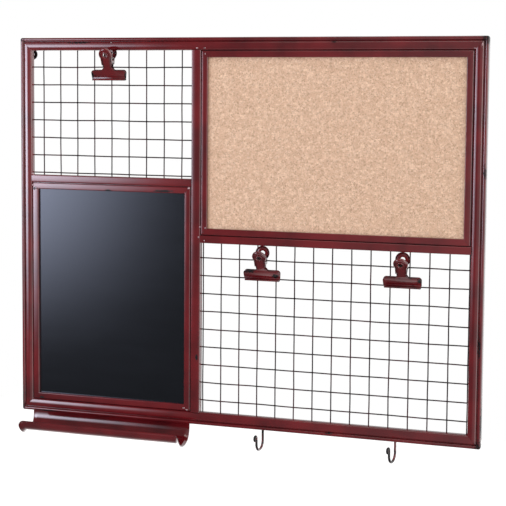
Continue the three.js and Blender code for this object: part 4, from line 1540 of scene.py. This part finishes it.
def lamp(name, watts, place, size, tint, fade):
    """A soft box: a rectangle of light that fades towards its edges."""
    data = bpy.data.lights.new(name, "AREA")
    data.shape = "RECTANGLE"
    data.size, data.size_y = size
    data.energy = watts
    data.color = tint
    obj = linked(name, data)
    obj.location = place
    aim = Vector(LAMP_AIM) - Vector(place)
    obj.rotation_euler = aim.to_track_quat("-Z", "Y").to_euler()
    nodes = fresh_nodes(data)
    inputs = {
        "Vector": nodes.add("NewGeometry").outputs["Position"],
        "Location": obj.location,
        "Rotation": obj.rotation_euler,
        "Scale": (size[0] / 2, size[1] / 2, 1.0),
    }
    across = nodes.add("Mapping", inputs, vector_type="TEXTURE").outputs[0]
    sides = nodes.add("SeparateXYZ", {"Vector": across}).outputs
    strength = 1.0
    for side in ("X", "Y"):
        far = nodes.maths("ABSOLUTE", sides[side])
        inputs = {"Value": far, "From Min": 1.0, "From Max": 1.0 - fade}
        ramp = nodes.add("MapRange", inputs, interpolation_type="SMOOTHSTEP").outputs[0]
        strength = nodes.maths("MULTIPLY", strength, ramp)
    nodes.add("OutputLight", {"Surface": glow(nodes, strength)})


def glow(nodes, strength):
    return nodes.add("Emission", {"Color": WHITE, "Strength": strength}).outputs[0]


def seen_directly(nodes):
    """Two masks: what the camera sees, also through glass, and what gloss mirrors."""
    path = nodes.add("LightPath").outputs
    seen = nodes.maths("MAXIMUM", path["Is Camera Ray"], path["Is Transmission Ray"])
    return seen, path["Is Glossy Ray"]


def room(studio):
    """White background; darker in front of the board, where a studio is unlit."""
    world = bpy.data.worlds.new("room")
    bpy.context.scene.world = world
    nodes = fresh_nodes(world)
    seen, glossy = seen_directly(nodes)
    direction = nodes.add("TexCoord").outputs["Generated"]
    axes = nodes.add("SeparateXYZ", {"Vector": direction}).outputs
    shine = None
    for axis, *limits in MIRRORED_ROOM:
        part = nodes.spread(axes[axis], *limits)
        shine = nodes.maths("MAXIMUM", shine, part) if shine else part
    back = nodes.spread(axes["Y"], -0.25, 0.25)
    side = nodes.spread(axes["X"], -0.6, 0.3, 0.2, 0.95)
    shine = nodes.maths("MAXIMUM", shine, nodes.maths("MULTIPLY", back, side))
    light = nodes.spread(axes["Y"], -0.2, 0.25, studio.room, studio.wall)
    unseen = nodes.maths("MULTIPLY", nodes.maths("SUBTRACT", 1.0, glossy), light)
    strength = nodes.maths("ADD", unseen, nodes.maths("MULTIPLY", glossy, shine))
    strength = nodes.maths("MAXIMUM", strength, seen)
    background = nodes.add("Background", {"Color": WHITE, "Strength": strength})
    nodes.add("OutputWorld", {"Surface": background.outputs[0]})


def floor():
    """A pale matt floor. Gloss sees it dark under the board and bright behind it."""
    corners = []
    for x, y in ((-1, FLOOR_FRONT), (1, FLOOR_FRONT), (1, FLOOR_BACK), (-1, FLOOR_BACK)):
        corners.append((x * FLOOR_SIDE, y, FLOOR_LEVEL))
    mesh = new_mesh("floor", (corners, [(0, 1, 2, 3)]))
    material = bpy.data.materials.new("pale floor")
    nodes = fresh_nodes(material)
    seen, glossy = seen_directly(nodes)
    deep = nodes.add("SeparateXYZ", {"Vector": nodes.place()}).outputs["Y"]
    shine = nodes.maths("MULTIPLY", glossy, nodes.spread(deep, *FLOOR_FADE, 0.0, 1.5))
    strength = nodes.maths("MAXIMUM", nodes.maths("MULTIPLY", seen, FLOOR_GLOW), shine)
    matt = nodes.add("BsdfDiffuse", {"Color": FLOOR_GREY}).outputs[0]
    pale = nodes.add("AddShader", {0: matt, 1: glow(nodes, strength)}).outputs[0]
    unlit = nodes.maths("MULTIPLY", glossy, nodes.spread(deep, *FLOOR_FADE, 0.9, 0.0))
    both = nodes.add("MixShader", {0: unlit, 1: pale, 2: glow(nodes, FLOOR_DARK)}).outputs[0]
    nodes.add("OutputMaterial", {"Surface": both})
    mesh.materials.append(material)
    obj = linked("floor", mesh)


def camera(studio):
    data = bpy.data.cameras.new("camera")
    data.lens = studio.lens
    data.sensor_width = 36.0
    data.shift_y = CAMERA_SHIFT
    data.clip_start, data.clip_end = 0.05, 100.0
    yaw, pitch = math.radians(CAMERA_YAW), math.radians(CAMERA_PITCH)
    level = math.cos(pitch)
    ahead = Vector((-math.sin(yaw) * level, math.cos(yaw) * level, -math.sin(pitch)))
    right = Vector((math.cos(yaw), math.sin(yaw), 0.0))
    right = Matrix.Rotation(math.radians(-CAMERA_ROLL), 3, ahead) @ right
    turned = Matrix((right, right.cross(ahead), -ahead)).transposed()
    obj = linked("camera", data)
    obj.matrix_world = Matrix.Translation(CAMERA_PLACE) @ turned.to_4x4()
    bpy.context.scene.camera = obj


class MEMO_OT_stage(bpy.types.Operator):
    """Set up the pale floor, the soft lamps and the camera"""

    bl_idname = "memo_board.stage"
    bl_label = "Stage"

    def execute(self, context):
        studio = context.scene.memo_board.studio
        context.scene.view_settings.view_transform = "Standard"
        room(studio)
        floor()
        for name, look in LAMPS.items():
            lamp(f"{name} lamp", getattr(studio, name), *look)
        camera(studio)
        return {"FINISHED"}


OPERATORS = (
    MEMO_OT_finishes,
    MEMO_OT_rails,
    MEMO_OT_inset_frames,
    MEMO_OT_panels,
    MEMO_OT_wire_meshes,
    MEMO_OT_clips,
    MEMO_OT_chalk_tray,
    MEMO_OT_hooks,
    MEMO_OT_welds,
    MEMO_OT_stage,
)


class MEMO_PT_sidebar(bpy.types.Panel):
    """Sizes, colours and steps of the memo board"""

    bl_idname = "MEMO_PT_sidebar"
    bl_label = "Memo board"
    bl_space_type = "VIEW_3D"
    bl_region_type = "UI"
    bl_category = "Memo board"

    def draw(self, context):
        for operator in OPERATORS:
            self.layout.operator(operator.bl_idname)
        for group_name in MemoBoardSettings.__annotations__:
            box = self.layout.box()
            box.label(text=group_name.capitalize())
            group = getattr(context.scene.memo_board, group_name)
            for key in group.__annotations__:
                box.prop(group, key)


CLASSES = (
    RailSettings,
    InsetSettings,
    WireSettings,
    ClipSettings,
    TraySettings,
    HookSettings,
    FinishSettings,
    StudioSettings,
    MemoBoardSettings,
    *OPERATORS,
    MEMO_PT_sidebar,
)


def register():
    for cls in CLASSES:
        bpy.utils.register_class(cls)
    bpy.types.Scene.memo_board = PointerProperty(type=MemoBoardSettings)


def unregister():
    del bpy.types.Scene.memo_board
    for cls in reversed(CLASSES):
        bpy.utils.unregister_class(cls)


def main():
    register()
    for operator in OPERATORS:
        step = operator.bl_idname.split(".")[1]
        getattr(bpy.ops.memo_board, step)()


if __name__ == "__main__":
    main()
